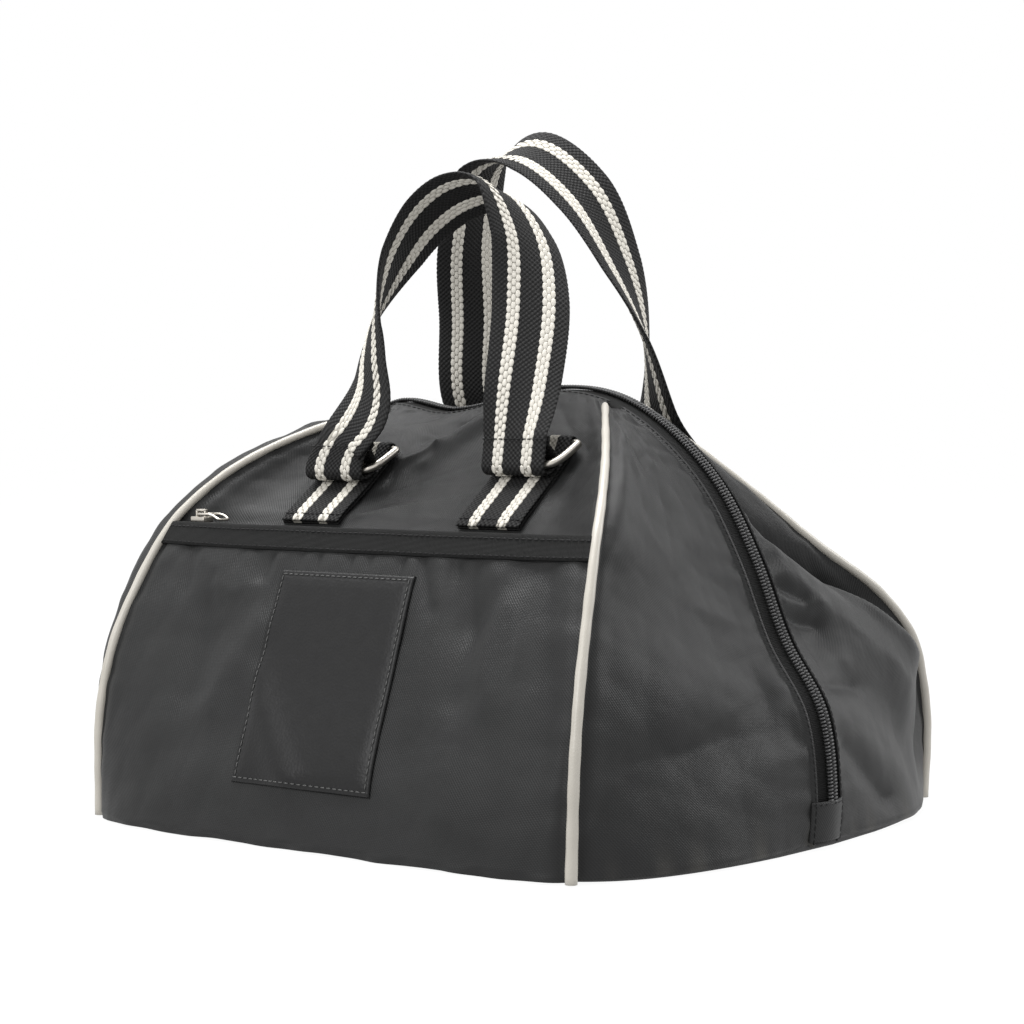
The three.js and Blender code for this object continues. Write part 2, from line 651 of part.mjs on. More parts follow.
// The pull's frame is a long loop, bent down past the slider
function pullPoint(angle) {
  const along = PULL.length * (0.5 - 0.5 * Math.sign(Math.cos(angle)) * Math.abs(Math.cos(angle)) ** 0.35);
  const across = (PULL.width / 2) * Math.sign(Math.sin(angle)) * Math.abs(Math.sin(angle)) ** 0.35;
  const past = Math.max(0, along - PULL.bendAt) / (PULL.length - PULL.bendAt);
  return new THREE.Vector3(pivot.x + along - past * 1.6, pivot.y + across, pivot.z - past * PULL.bendDrop);
}

// A closed tube of six sides round a loop of points
function loopTube(points, radius, upAt) {
  return loft(points.map((point, i) => {
    const count = points.length;
    const tangent = points[(i + 1) % count].clone().sub(points[(i + count - 1) % count]).normalize();
    const up = upAt.clone().addScaledVector(tangent, -upAt.dot(tangent)).normalize();
    const aside = tangent.clone().cross(up);
    return evenly(6, 0, 2 * Math.PI).slice(0, -1).map((angle) => point.clone()
      .addScaledVector(up, radius * Math.cos(angle))
      .addScaledVector(aside, radius * Math.sin(angle)));
  }), true);
}

const turns = (count) => evenly(count, 0, 2 * Math.PI).slice(0, -1);
addPiece('pocket_pull', loopTube(turns(24).map(pullPoint), PULL.wire, new THREE.Vector3(0, 0, 1)), FINISH.metal);

// Tabs, rings and handles

const TAB = {
  foot: { front: 0.03, back: 0.68 },
  top: { front: { right: 0.605, left: 0.55 }, back: { right: 0.845, left: 0.845 } },
  lean: { front: { right: -2.5, left: -5 }, back: { right: 0, left: 0 } },
  slackLength: 9,
};
const LOOP = { centreRadius: RING.wireRadius + GAP + WEBBING.thickness / 2, stitch: 12, lift: 1.6, slack: 1.9 };
const foldRadius = RING.wireRadius + GAP + WEBBING.tabThickness / 2;
const lowerLayer = GAP + WEBBING.tabThickness / 2;
const upperLayer = lowerLayer + WEBBING.tabThickness + GAP;
const barHeight = lowerLayer + foldRadius;
const bowHeight = upperLayer + WEBBING.tabThickness / 2 + LOOP.lift + WEBBING.thickness / 2 + LOOP.centreRadius;

const surfaces = {
  front: { towards: -1, seam: upperSeam, pointAt: upperFrontPoint, height: frontMiddle.getLength() },
  back: { towards: 1, seam: seams.back, pointAt: backPoint, height: backMiddle.getLength() },
};

// The panel's slope under a tab: foot of the normal, uphill direction and outward normal
function slopeAt(face, name, t) {
  const { seam, pointAt, towards } = surfaces[face];
  const at = (share) => pointAt(TAB_X[face][name] / seam.getPointAt(share).x, share);
  const point = at(t).setX(0);
  const uphill = at(t + 0.01).sub(at(t - 0.01)).setX(0).normalize();
  const normal = new THREE.Vector3(0, towards * uphill.z, -towards * uphill.y);
  return { point, uphill, normal };
}

// Everything that hangs on one tab, worked out in the plane across the panel
function hanging(face, name) {
  const topShare = TAB.top[face][name];
  const { height } = surfaces[face];
  const top = slopeAt(face, name, topShare);
  const bar = top.point.clone().addScaledVector(top.normal, barHeight);
  const reach = RING.bowDepth + RING.barDepth;
  const below = slopeAt(face, name, topShare - reach / height);
  const lowest = below.point.clone().addScaledVector(below.normal, bowHeight);
  const rise = bar.clone().sub(lowest).normalize();
  const bow = bar.clone().addScaledVector(rise, -reach);
  return { top, bar, bow, rise, normal: below.normal };
}

function tabPath(face, name) {
  const { top, bar } = hanging(face, name);
  const { height } = surfaces[face];
  const topShare = TAB.top[face][name];
  const lowShare = TAB.foot[face];
  const onPanel = (t, lift) => {
    const { point, normal } = slopeAt(face, name, t);
    return point.addScaledVector(normal, lift);
  };
  const slackShare = topShare - TAB.slackLength / height;
  const under = evenly(6, lowShare, topShare).map((t) => onPanel(t, lowerLayer));
  const fold = evenly(6, -Math.PI / 2, Math.PI / 2).slice(1, -1).map((angle) => bar.clone()
    .addScaledVector(top.uphill, foldRadius * Math.cos(angle))
    .addScaledVector(top.normal, foldRadius * Math.sin(angle)));
  const crest = bar.clone().addScaledVector(top.normal, foldRadius);
  const over = evenly(5, slackShare, lowShare).map((t) => onPanel(t, upperLayer));
  return [...under, ...fold, crest, ...over];
}

// A tab leans: its foot is sewn a little to one side of its ring
function leaned(geometry, face, name) {
  const high = hanging(face, name).bar.z;
  const low = slopeAt(face, name, TAB.foot[face]).point.z;
  const { position } = geometry.attributes;
  for (let i = 0; i < position.count; i += 1) {
    const down = THREE.MathUtils.clamp((high - position.getZ(i)) / (high - low), 0, 1);
    position.setX(i, position.getX(i) + TAB.lean[face][name] * down ** 2);
  }
  return geometry;
}

function ringLoop(face, name) {
  const { bow, rise } = hanging(face, name);
  return turns(20).map((angle) => {
    const [c, s] = [Math.cos(angle), Math.sin(angle)];
    const power = s > 0 ? RING.bowPower : RING.barPower;
    const depth = s > 0 ? RING.bowDepth : RING.barDepth;
    const x = RING.halfWidth * Math.sign(c) * Math.abs(c) ** (2 / power);
    const down = depth * Math.sign(s) * Math.abs(s) ** (2 / power);
    return bow.clone().addScaledVector(rise, RING.bowDepth - down).setX(x);
  });
}

// The webbing's loop round a ring's bow, from its sewn-down end behind the leg to the leg
function handleLoop(face, name, legTowards) {
  const { bow, rise } = hanging(face, name);
  const { towards } = surfaces[face];
  const leg = legTowards.clone().setX(0).sub(bow).normalize();
  const back = new THREE.Vector3(0, -towards * leg.z, towards * leg.y);
  const half = (WEBBING.width / 2 / RING.halfWidth) ** RING.bowPower;
  const bowRise = RING.bowDepth * (1 - (1 - half) ** (1 / RING.bowPower));
  const far = bow.clone().addScaledVector(rise, bowRise + LOOP.slack);
  const around = (centre, degrees) => {
    const angle = THREE.MathUtils.degToRad(degrees);
    return centre.clone()
      .addScaledVector(back, -LOOP.centreRadius * Math.cos(angle))
      .addScaledVector(leg, -LOOP.centreRadius * Math.sin(angle));
  };
  const flat = 180 - THREE.MathUtils.radToDeg(Math.acos(Math.min(1, Math.abs(rise.dot(leg)))));
  const legStart = around(bow, 0);
  const sewn = legStart.clone()
    .addScaledVector(leg, LOOP.stitch)
    .addScaledVector(back, WEBBING.thickness + GAP);
  return [
    sewn,
    sewn.clone().addScaledVector(leg, -LOOP.stitch / 4),
    ...evenly(3, 205, flat).map((degrees) => around(far, degrees)),
    ...evenly(6, flat, 0).map((degrees) => around(bow, degrees)),
    legStart.clone().addScaledVector(leg, LOOP.stitch),
  ];
}

const HANDLE_STEPS = 30;

function handleRibbon(face, rows) {
  const legs = { right: rows[0], left: rows[rows.length - 1] };
  const loopOf = (name) => handleLoop(face, name, new THREE.Vector3(0, legs[name].y, legs[name].z))
    .map((point) => point.setX(TAB_X[face][name]));
  const right = loopOf('right');
  const left = loopOf('left').reverse();
  const twist = face === 'front' ? 1 : -1;
  const middle = [
    { point: right[right.length - 1], turn: 0, tilt: 0 },
    ...rows.map((row) => ({ point: new THREE.Vector3(row.x, row.y, row.z), turn: row.turn, tilt: row.tilt })),
    { point: left[0], turn: 180, tilt: 0 },
  ];
  const spine = new THREE.CatmullRomCurve3(middle.map(({ point }) => point), false, 'centripetal');
  const twists = new THREE.CatmullRomCurve3(middle.map(({ turn, tilt }) => new THREE.Vector3(turn, tilt, 0)));
  const shares = evenly(HANDLE_STEPS).slice(1, -1);
  const path = [...right, ...shares.map((t) => spine.getPoint(t)), ...left];
  const angles = [
    ...right.map(() => new THREE.Vector3()),
    ...shares.map((t) => twists.getPoint(t).multiplyScalar(THREE.MathUtils.DEG2RAD)),
    ...left.map(() => new THREE.Vector3(Math.PI, 0, 0)),
  ];
  const acrossAt = (i) => {
    const { x: turn, y: tilt } = angles[i];
    const level = Math.cos(tilt);
    return new THREE.Vector3(level * Math.cos(turn), twist * level * Math.sin(turn), Math.sin(tilt));
  };
  return ribbon(path, acrossAt, WEBBING.width, WEBBING.thickness);
}

// The front handle's left leg leans inwards where it leaves its loop
const LEG_LEAN = { shift: 9, from: 156.5, most: 161, to: 182 };

function legLeaned(geometry) {
  const { position } = geometry.attributes;
  for (let i = 0; i < position.count; i += 1) {
    const [x, z] = [position.getX(i), position.getZ(i)];
    const share = smoothstep(z, LEG_LEAN.from, LEG_LEAN.most) * (1 - smoothstep(z, LEG_LEAN.most, LEG_LEAN.to));
    if (x < 0) position.setX(i, x + LEG_LEAN.shift * share);
  }
  return geometry;
}

for (const [face, rows] of [['front', FRONT_HANDLE], ['back', BACK_HANDLE]]) {
  for (const name of ['right', 'left']) {
    const place = (geometry) => geometry.translate(TAB_X[face][name], 0, 0);
    const tab = ribbon(tabPath(face, name), () => X_AXIS, WEBBING.width, WEBBING.tabThickness);
    addPiece(`tab_${face}_${name}`, place(leaned(tab, face, name)), FINISH.webbing);
    const ring = loopTube(ringLoop(face, name), RING.wireRadius, hanging(face, name).normal);
    addPiece(`ring_${face}_${name}`, place(ring), FINISH.metal);
  }
  const handle = handleRibbon(face, rows);
  addPiece(`handle_${face}`, face === 'front' ? legLeaned(handle) : handle, FINISH.webbing);
}

export default bag;
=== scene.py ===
import math

import bpy
import numpy as np
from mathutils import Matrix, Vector


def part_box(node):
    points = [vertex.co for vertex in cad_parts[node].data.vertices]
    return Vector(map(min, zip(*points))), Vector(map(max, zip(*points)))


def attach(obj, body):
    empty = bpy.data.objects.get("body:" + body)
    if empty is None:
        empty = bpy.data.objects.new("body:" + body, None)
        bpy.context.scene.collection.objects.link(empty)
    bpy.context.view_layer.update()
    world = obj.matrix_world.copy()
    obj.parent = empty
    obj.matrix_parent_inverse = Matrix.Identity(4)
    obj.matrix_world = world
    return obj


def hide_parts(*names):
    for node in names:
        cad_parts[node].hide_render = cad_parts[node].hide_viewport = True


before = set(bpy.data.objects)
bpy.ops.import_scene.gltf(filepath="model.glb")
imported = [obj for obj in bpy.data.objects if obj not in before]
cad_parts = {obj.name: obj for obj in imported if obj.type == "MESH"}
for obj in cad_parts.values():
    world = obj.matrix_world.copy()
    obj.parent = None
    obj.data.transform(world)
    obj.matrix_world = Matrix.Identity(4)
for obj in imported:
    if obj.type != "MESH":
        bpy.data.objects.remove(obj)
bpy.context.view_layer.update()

# Studio. A wide white floor under a white sky, with a large soft light overhead, one in front and one
# behind to the right. The camera stands where the photo was taken from.
scene = bpy.context.scene
scene.view_settings.view_transform = "Standard"
MM = 0.001


def put(name, points, faces):
    mesh = bpy.data.meshes.new(name)
    mesh.from_pydata(np.asarray(points).tolist(), [], [list(map(int, face)) for face in faces])
    mesh.shade_smooth()
    made = bpy.data.objects.new(name, mesh)
    scene.collection.objects.link(made)
    return made


def new_material(name, colour, roughness, **others):
    made = bpy.data.materials.new(name)
    made.use_nodes = True
    shader = made.node_tree.nodes["Principled BSDF"]
    for socket, value in {"Base Color": (*colour, 1), "Roughness": roughness, **others}.items():
        shader.inputs[socket].default_value = value
    return made, made.node_tree, shader


def soft_light(name, place, aim, size, watts):
    lamp = bpy.data.lights.new(name, "AREA")
    lamp.size = size
    lamp.energy = watts
    made = bpy.data.objects.new(name, lamp)
    made.location = place
    made.rotation_euler = (Vector(aim) - Vector(place)).to_track_quat("-Z", "Y").to_euler()
    scene.collection.objects.link(made)


floor = put("floor", [(-12, -12, 0), (12, -12, 0), (12, 12, 0), (-12, 12, 0)], [(0, 1, 2, 3)])
glow = {"Emission Color": (1, 1, 1, 1), "Emission Strength": 0.95, "Specular IOR Level": 0.0}
floor.data.materials.append(new_material("floor_white", (0.05, 0.05, 0.05), 0.9, **glow)[0])
scene.world = bpy.data.worlds.new("sky")
scene.world.use_nodes = True
scene.world.node_tree.nodes["Background"].inputs["Color"].default_value = (1, 1, 1, 1)
soft_light("top_light", (-0.4, -0.1, 1.9), (0, 0, 0.1), 1.4, 66)
soft_light("front_light", (0.0, -2.0, 1.0), (0, 0, 0.1), 1.0, 20)
soft_light("rear_light", (1.2, 1.5, 1.0), (0, 0, 0.1), 0.8, 16)

eye = bpy.data.cameras.new("camera")
eye.lens = 82.8
eye.sensor_width = 36
camera = bpy.data.objects.new("camera", eye)
camera.location = (0.6307, -0.8030, 0.1660)
camera.rotation_euler = (math.radians(90 - 2.071), 0, math.radians(38.15))
scene.collection.objects.link(camera)
scene.camera = camera

# Base. A stiff square board with bulging sides, wrapped in dull black cloth. Its edge shows as a thin
# dark strip under the gussets and is hidden behind the pocket's hem at the front.
BASE = {
    "half_length": 146, "half_depth": 144.5, "centre": 6.5, "power": 5, "bulge": 13,
    "front_tuck": 0.09, "back_tuck": 0.14, "tuck_from": 100,
}
BASE_RINGS = [(4.2, 0), (2.5, 0.3), (1.8, 1.3), (2.1, 3.1), (6, 3.2)]


def side_bulge(share):
    return BASE["bulge"] * (1 - share**2) ** 2


def base_half_length(y):
    share = np.clip(np.abs(y - BASE["centre"]) / BASE["half_depth"], 0, 1)
    return BASE["half_length"] * (1 - share ** BASE["power"]) ** (1 / BASE["power"]) + side_bulge(share)


def base_outline(inset, z):
    angle = np.linspace(0, 2 * np.pi, 180, endpoint=False)
    along, across = (
        np.sign(v) * np.abs(v) ** (2 / BASE["power"]) for v in (np.cos(angle), np.sin(angle))
    )
    x = (BASE["half_length"] - inset) * along + np.sign(along) * side_bulge(across)
    y = BASE["centre"] + (BASE["half_depth"] - inset) * across
    past_front, past_back = np.maximum(0, -BASE["tuck_from"] - y), np.maximum(0, y - BASE["tuck_from"])
    y = y + BASE["front_tuck"] * past_front - BASE["back_tuck"] * past_back
    return np.stack([x, y, np.full_like(x, z)], -1)


def node(tree, kind, inputs=None, **settings):
    new = tree.nodes.new(kind)
    for key, value in settings.items():
        setattr(new, key, value)
    for key, value in (inputs or {}).items():
        if isinstance(value, bpy.types.NodeSocket):
            tree.links.new(value, new.inputs[key])
        else:
            new.inputs[key].default_value = value
    return new.outputs


def maths(tree, operation, a, b=0.0):
    return node(tree, "ShaderNodeMath", {0: a, 1: b}, operation=operation)[0]


def waves(tree, value, pitch, shift=0.0):
    turned = maths(tree, "MULTIPLY_ADD", value, 2 * math.pi / pitch)
    turned.node.inputs[2].default_value = shift
    return maths(tree, "SINE", turned)


def mixed(tree, share, low, high):
    made = tree.nodes.new("ShaderNodeMix")
    made.data_type = "RGBA"
    for socket, value in ((made.inputs["Factor"], share), (made.inputs[6], low), (made.inputs[7], high)):
        if isinstance(value, bpy.types.NodeSocket):
            tree.links.new(value, socket)
        else:
            socket.default_value = value if isinstance(value, float) else (*value, 1)
    return made.outputs[2]


def bumped(tree, shader, height, depth, strength=1.0):
    bump = node(tree, "ShaderNodeBump", {"Height": height, "Distance": depth, "Strength": strength})
    tree.links.new(bump["Normal"], shader.inputs["Normal"])


def dressed(obj, material, slot, *nodes, body="bag"):
    if material is not None:
        obj.data.materials.clear()
        obj.data.materials.append(material)
    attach(obj, body)
    if nodes:
        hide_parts(*nodes)
    return obj


base_cloth, tree, shader = new_material("base_cloth", (0.014, 0.014, 0.0145), 0.75)
place = node(tree, "ShaderNodeTexCoord")["Object"]
grain = node(tree, "ShaderNodeTexNoise", {"Vector": place, "Scale": 900.0, "Detail": 3.0})
bumped(tree, shader, grain[0], 0.0002)
rings = np.stack([base_outline(inset, z) for inset, z in BASE_RINGS])
count = rings.shape[1]
index = np.arange(rings.shape[0] * count).reshape(-1, count)
after = np.roll(index, -1, axis=1)
walls = np.stack([index[:-1], after[:-1], after[1:], index[1:]], -1).reshape(-1, 4).tolist()
board = put("base_board", rings.reshape(-1, 3) * MM, [*walls, index[0][::-1].tolist(), index[-1].tolist()])
dressed(board, base_cloth, "base_cloth", "base")

# Side gussets. Four panels of charcoal twill nylon run from the piping at the bag's corners to the zip
# that arches over it. Each is turned under and topstitched along the zip. The back ones have slumped.
CLOTH = 1.3
GUSSET_FLAT = (115, 235)
FOOT_DROP = 1.8
INSIDE = np.array([0, 0.005, 0.06])
FLOOR_OF_WALLS = 3.3
ZIP = {"half_width": 10.5, "reach": 10.8, "edge_drop": 2.5, "end_height": 18, "gusset_top": 66}
FRONT_SEAM = [
    (125.3, -125, 3.3), (126, -124, 44), (124.3, -118.5, 72), (121.5, -111.3, 91), (113.6, -93.8, 124),
    (106, -80, 138), (92.5, -59, 153), (74.5, -34, 167), (59, -13, 175.4),
]
BACK_SEAM = [
    (128, 134.5, 3.3), (125.5, 142, 30), (124.5, 140, 52), (124, 131.5, 72), (119, 111, 93),
    (108, 74, 116), (91, 49, 139), (73, 29.5, 159), (59, 13, 175.2),
]
ZIP_ARCH = [
    (159, 0, 3.3), (160, 0, 22), (155, 0, 54), (138, 0, 81), (124, 0, 113), (106, 0, 143), (80, 0, 167),
    (56, 0, 179), (30, 0, 182.5), (0, 0, 178), (-30, 0, 173.5), (-62, 0, 177.5), (-84, 0, 168),
    (-107, 0, 143), (-124, 0, 113), (-138, 0, 81), (-155, 0, 54), (-160, 0, 22), (-159, 0, 3.3),
]
# Each fold: its two ends as shares of breadth and height, how deep it sinks, and how far it spreads (mm)
SLUMPED_FOLDS = [
    ((0.1, 0.45), (0.8, 0.72), 13, 21), ((0.05, 0.27), (0.95, 0.66), -5, 15),
    ((0.35, 0.12), (0.95, 0.4), 4, 16),
]
GUSSET_FOLDS = {
    ("front", "right"): [
        ((0.05, 0.07), (0.85, 0.3), 3.5, 15), ((0.1, 0.45), (0.75, 0.5), 2, 32),
        ((0.12, 0.55), (0.12, 0.9), -3, 15),
    ],
    ("front", "left"): [
        ((0.1, 0.4), (0.1, 0.52), -6, 13), ((0.05, 0.07), (0.85, 0.3), 3.5, 15),
    ],
    ("back", "right"): SLUMPED_FOLDS,
    ("back", "left"): SLUMPED_FOLDS,
}
GUSSET_CREASES = {
    "front": [
        ((0.12, 0.13), (0.98, 0.34), -1.0, 8), ((0.2, 0.17), (0.92, 0.225), 2.6, 9),
        ((0.07, 0.92), (0.3, 0.72), -1.2, 4), ((0.2, 0.95), (0.42, 0.76), 1.0, 4),
        ((0.36, 0.95), (0.52, 0.78), -1.0, 4), ((0.6, 0.93), (0.72, 0.8), 0.7, 4),
        ((0.58, 0.46), (0.98, 0.43), -1.1, 6), ((0.62, 0.55), (0.95, 0.5), 0.9, 6),
        ((0.3, 0.6), (0.5, 0.52), -0.7, 5), ((0.7, 0.36), (0.98, 0.38), 1.0, 6),
    ],
    "back": [
        ((0.8, 0.475), (1, 0.53), 3, 3.5), ((0.72, 0.455), (0.98, 0.49), -1.6, 5),
        ((0.76, 0.42), (1, 0.465), 3.2, 4), ((0.7, 0.27), (1, 0.315), 2.4, 5),
        ((0.7, 0.33), (0.97, 0.36), -1.2, 6), ((0.64, 0.04), (0.92, 0.17), 3.4, 7),
        ((0.06, 0.22), (0.16, 0.08), 4, 9), ((0.8, 0.52), (0.3, 0.23), -3, 15),
        ((0.85, 0.62), (1, 0.65), 1.2, 4),
    ],
}
# On the back gussets the lower cloth has sagged over the hollow above it along this crest
CREST = [(1, 0.79), (0.77, 0.72), (0.52, 0.61), (0.36, 0.48), (0.25, 0.37), (0.11, 0.26), (0, 0.18)]
LAP = {"drop": 15, "tuck": 8, "brow": 4}
# Beside the left front piping the cloth rolls out by this much (mm) at these shares of the height
ROLL = [(0, 0.1, 0.2, 0.3, 0.55, 0.65, 0.75, 0.85, 0.95, 1), (0, 1, 5, 6.6, 6.8, 7.8, 5.9, 3.7, 2, 0)]


def spline(points):
    points = np.asarray(points, float)
    padded = np.vstack([2 * points[0] - points[1], points, 2 * points[-1] - points[-2]])
    spans = []
    for a, b, c, d in zip(padded, padded[1:], padded[2:], padded[3:]):
        k0, k1, k2 = (max(np.linalg.norm(q - p) ** 0.5, 1e-6) for p, q in ((a, b), (b, c), (c, d)))
        start = ((b - a) / k0 - (c - a) / (k0 + k1) + (c - b) / k1) * k1
        end = ((c - b) / k1 - (d - b) / (k1 + k2) + (d - c) / k2) * k1
        spans.append((b, start, c, end))
    spans = np.array(spans)

    def at(share):
        whole = np.clip(np.asarray(share, float) * len(spans), 0, len(spans) - 1e-9)
        span = whole.astype(int)
        s = (whole - span)[..., None]
        b, start, c, end = (spans[span, k] for k in range(4))
        return (
            b * (2 * s**3 - 3 * s**2 + 1) + start * (s**3 - 2 * s**2 + s)
            + c * (3 * s**2 - 2 * s**3) + end * (s**3 - s**2)
        )

    return at


def lengths_along(points):
    steps = np.linalg.norm(np.diff(points, axis=0), axis=1)
    return np.concatenate([[0], np.cumsum(steps)])


def read_off(stops, run, rows):
    return np.stack([np.interp(stops, run, rows[:, k]) for k in range(3)], -1)


def evenly_along(points):
    points = np.asarray(points, float)
    run = lengths_along(points)
    return lambda share: read_off(np.asarray(share, float) * run[-1], run, points)


def curve_through(rows):
    return evenly_along(spline(rows)(np.linspace(0, 1, 60 * len(rows))))


arch = curve_through(ZIP_ARCH)
arch_shares = np.linspace(0, 1, 2001)
arch_points = arch(arch_shares)
arch_length = lengths_along(arch_points)[-1]
seams = {"front": curve_through(FRONT_SEAM), "back": curve_through(BACK_SEAM)}
LEFT_RISE = {"most": 2.2, "from": 124, "to": 175.4}


def raised(points, left):
    share = np.clip((points[..., 2] - LEFT_RISE["from"]) / (LEFT_RISE["to"] - LEFT_RISE["from"]), 0, 1)
    lift = np.asarray(left) * LEFT_RISE["most"] * np.sin(np.pi * share) ** 2
    return points + lift[..., None] * (0, 0, 1)


def share_at_x(x):
    inner = slice(120, 1881)
    return np.interp(-np.asarray(x, float), -arch_points[inner, 0], arch_shares[inner])


def arch_normal(u):
    along = arch(np.minimum(np.asarray(u) + 0.002, 1)) - arch(np.maximum(np.asarray(u) - 0.002, 0))
    along = along / np.linalg.norm(along, axis=-1, keepdims=True)
    return np.stack([along[..., 2], 0 * along[..., 0], -along[..., 0]], -1)


def on_zip(u, y, lift):
    u, y, lift = np.broadcast_arrays(*(np.asarray(v, float) for v in (u, y, lift)))
    drop = ZIP["edge_drop"] * (y / ZIP["half_width"]) ** 2
    points = arch(u) + arch_normal(u) * (lift - drop)[..., None]
    points[..., 1] = y
    points[..., 2] = np.maximum(points[..., 2], FLOOR_OF_WALLS)
    return points


def zip_share(side, t):
    foot, top = (0, share_at_x(ZIP["gusset_top"])) if side > 0 else (1, share_at_x(-ZIP["gusset_top"]))
    return foot + (top - foot) * np.asarray(t, float)


def gusset_point(face, side, v, t):
    v, t = np.broadcast_arrays(np.asarray(v, float), np.asarray(t, float))
    towards = -1 if face == "front" else 1
    reach = towards * ZIP["reach"]
    seam = raised(seams[face](t), side < 0) * (side, 1, 1)
    edge = on_zip(zip_share(side, t), reach, 0)
    seam_foot, zip_foot = seams[face](0), on_zip(0, reach, 0)
    straight = seam_foot[0] + (zip_foot[0] - seam_foot[0]) * v
    curved = base_half_length(seam_foot[1] + (zip_foot[1] - seam_foot[1]) * v)
    flare = 0.8 * np.exp(-t / 0.17) + 0.2 * (1 - t)
    points = seam + (edge - seam) * v[..., None]
    points[..., 0] += side * flare * (curved - straight) * np.sqrt(np.abs(np.sin(np.pi * v)))
    return points


def sunk(folds, breadth, height, u, t, hold=8, sharpness=2.0):
    here = np.stack([u * breadth, t * height], -1)
    depth = np.zeros(u.shape)
    for start, end, deep, spread in folds:
        a, b = (np.array(p) * (breadth, height) for p in (start, end))
        along = np.clip((here - a) @ (b - a) / ((b - a) @ (b - a)), 0, 1)
        distance = np.linalg.norm(here - a - along[..., None] * (b - a), axis=-1)
        depth += deep * np.exp(-((distance / spread) ** sharpness))
    return depth * np.clip(hold * np.minimum(np.minimum(u, 1 - u), np.minimum(t, 1 - t)), 0, 1)


def creased(creases, breadth, height, u, t):
    return sunk(creases, breadth, height, u, t, hold=24, sharpness=1.4)


def smooth_step(value, low, high):
    share = np.clip((value - low) / (high - low), 0, 1)
    return share * share * (3 - 2 * share)


def lapped(breadth, height, v, t):
    crest = spline([(a * breadth, b * height, 0) for a, b in CREST])(np.linspace(0, 1, 90))[:, :2]
    along = np.gradient(crest, axis=0)
    along /= np.linalg.norm(along, axis=1, keepdims=True)
    here = np.stack([v * breadth, t * height], -1)
    nearest = np.argmin(np.linalg.norm(here[:, :, None] - crest, axis=-1), axis=-1)
    below = np.stack([-along[nearest, 1], along[nearest, 0]], -1)
    above = -np.sum((here - crest[nearest]) * below, axis=-1)
    held = smooth_step(nearest / 89, 0, 0.12)
    low_end, brow_end = (1 - smooth_step(nearest / 89, *ends) for ends in ((0.9, 1.0), (0.6, 0.88)))
    drop = smooth_step(above, 0, 6) * np.exp(-np.maximum(above - 6, 0) / 17)
    brow = np.exp(-(((above + 3) / 6) ** 2))
    tuck = np.exp(-(((above - 5) / 5) ** 2))
    depth = (LAP["drop"] * drop * low_end - LAP["brow"] * brow * brow_end) * held
    return depth, LAP["tuck"] * tuck * held * brow_end, below


def normals_of(grid):
    across = np.gradient(grid, axis=1)
    up = np.gradient(grid, axis=0)
    normals = np.cross(across, up)
    normals /= np.linalg.norm(normals, axis=-1, keepdims=True) + 1e-12
    rows, columns = grid.shape[0] // 2, grid.shape[1] // 2
    outward = (grid[rows, columns] / 1000 - INSIDE) @ normals[rows, columns]
    return normals * (1 if outward > 0 else -1)


def seam_groove(away):
    return 0.9 * np.exp(-(((away - 3.4) / 1.5) ** 2)) - 0.5 * np.exp(-(((away - 8.5) / 3.0) ** 2))


def puckers(along, away, depth, reach):
    ripple = np.sin(along / 2.9) + 0.7 * np.sin(along / 1.83 + 1.3) + 0.6 * np.sin(along / 4.7 + 0.4)
    return depth * ripple / 2.3 * np.exp(-away / reach) * np.clip(away / 2.0, 0, 1)


def crinkled(x, y, seed, depth=0.28):
    chance = np.random.default_rng(seed)
    total = np.zeros(x.shape)
    for _ in range(10):
        turn = chance.uniform(0, math.pi)
        length = chance.uniform(16, 48)
        sway = chance.uniform(22, 50)
        shift = chance.uniform(0, 6)
        run, aside = x * math.cos(turn) + y * math.sin(turn), y * math.cos(turn) - x * math.sin(turn)
        bent = run + 5 * np.sin(aside / sway + shift)
        total += 1 - 2 * np.abs(np.sin(bent * math.pi / length + shift)) ** 0.8
    return depth * total / 2.5


def lay_out(made, uv):
    corners = np.empty(len(made.data.loops), np.int32)
    made.data.loops.foreach_get("vertex_index", corners)
    flat = uv.reshape(-1, 2) * MM
    made.data.uv_layers.new(name="cloth").data.foreach_set("uv", flat[corners].ravel())


def cloth_piece(name, grid, uv, thickness, wear=None):
    rows, columns = grid.shape[:2]
    index = np.arange(rows * columns).reshape(rows, columns)
    quads = np.stack([index[:-1, :-1], index[:-1, 1:], index[1:, 1:], index[1:, :-1]], -1)
    faces = quads.reshape(-1, 4)
    i, j = rows // 2, columns // 2
    turn = np.cross(grid[i, j + 1] - grid[i, j], grid[i + 1, j] - grid[i, j])
    if turn @ (grid[i, j] / 1000 - INSIDE) < 0:
        faces = faces[:, ::-1]
    made = put(name, grid.reshape(-1, 3) * MM, faces)
    lay_out(made, uv)
    worn = made.data.attributes.new("wear", "FLOAT", "POINT")
    if wear is not None:
        worn.data.foreach_set("value", wear.ravel())
    shell = made.modifiers.new("thickness", "SOLIDIFY")
    shell.thickness = thickness * MM
    shell.offset = -1
    return made


nylon, tree, shader = new_material(
    "nylon_twill", (0.014, 0.0142, 0.0143), 0.46,
    **{"Sheen Weight": 0.03, "Sheen Roughness": 0.4, "Specular IOR Level": 0.17},
)
thread_place = node(tree, "ShaderNodeUVMap", uv_map="cloth")[0]
u, v, _ = node(tree, "ShaderNodeSeparateXYZ", {0: thread_place})
twill = waves(tree, maths(tree, "ADD", u, maths(tree, "MULTIPLY", v, 0.8)), 1.15 * MM)
weft = waves(tree, v, 0.62 * MM)
patchy = {"Vector": thread_place, "Scale": 26.0, "Detail": 4.0, "Roughness": 0.6}
clouds = node(tree, "ShaderNodeTexNoise", patchy)[0]
crumple = node(tree, "ShaderNodeTexNoise", {"Vector": thread_place, "Scale": 95.0, "Detail": 3.0})[0]
worn = node(tree, "ShaderNodeAttribute", attribute_name="wear")["Fac"]
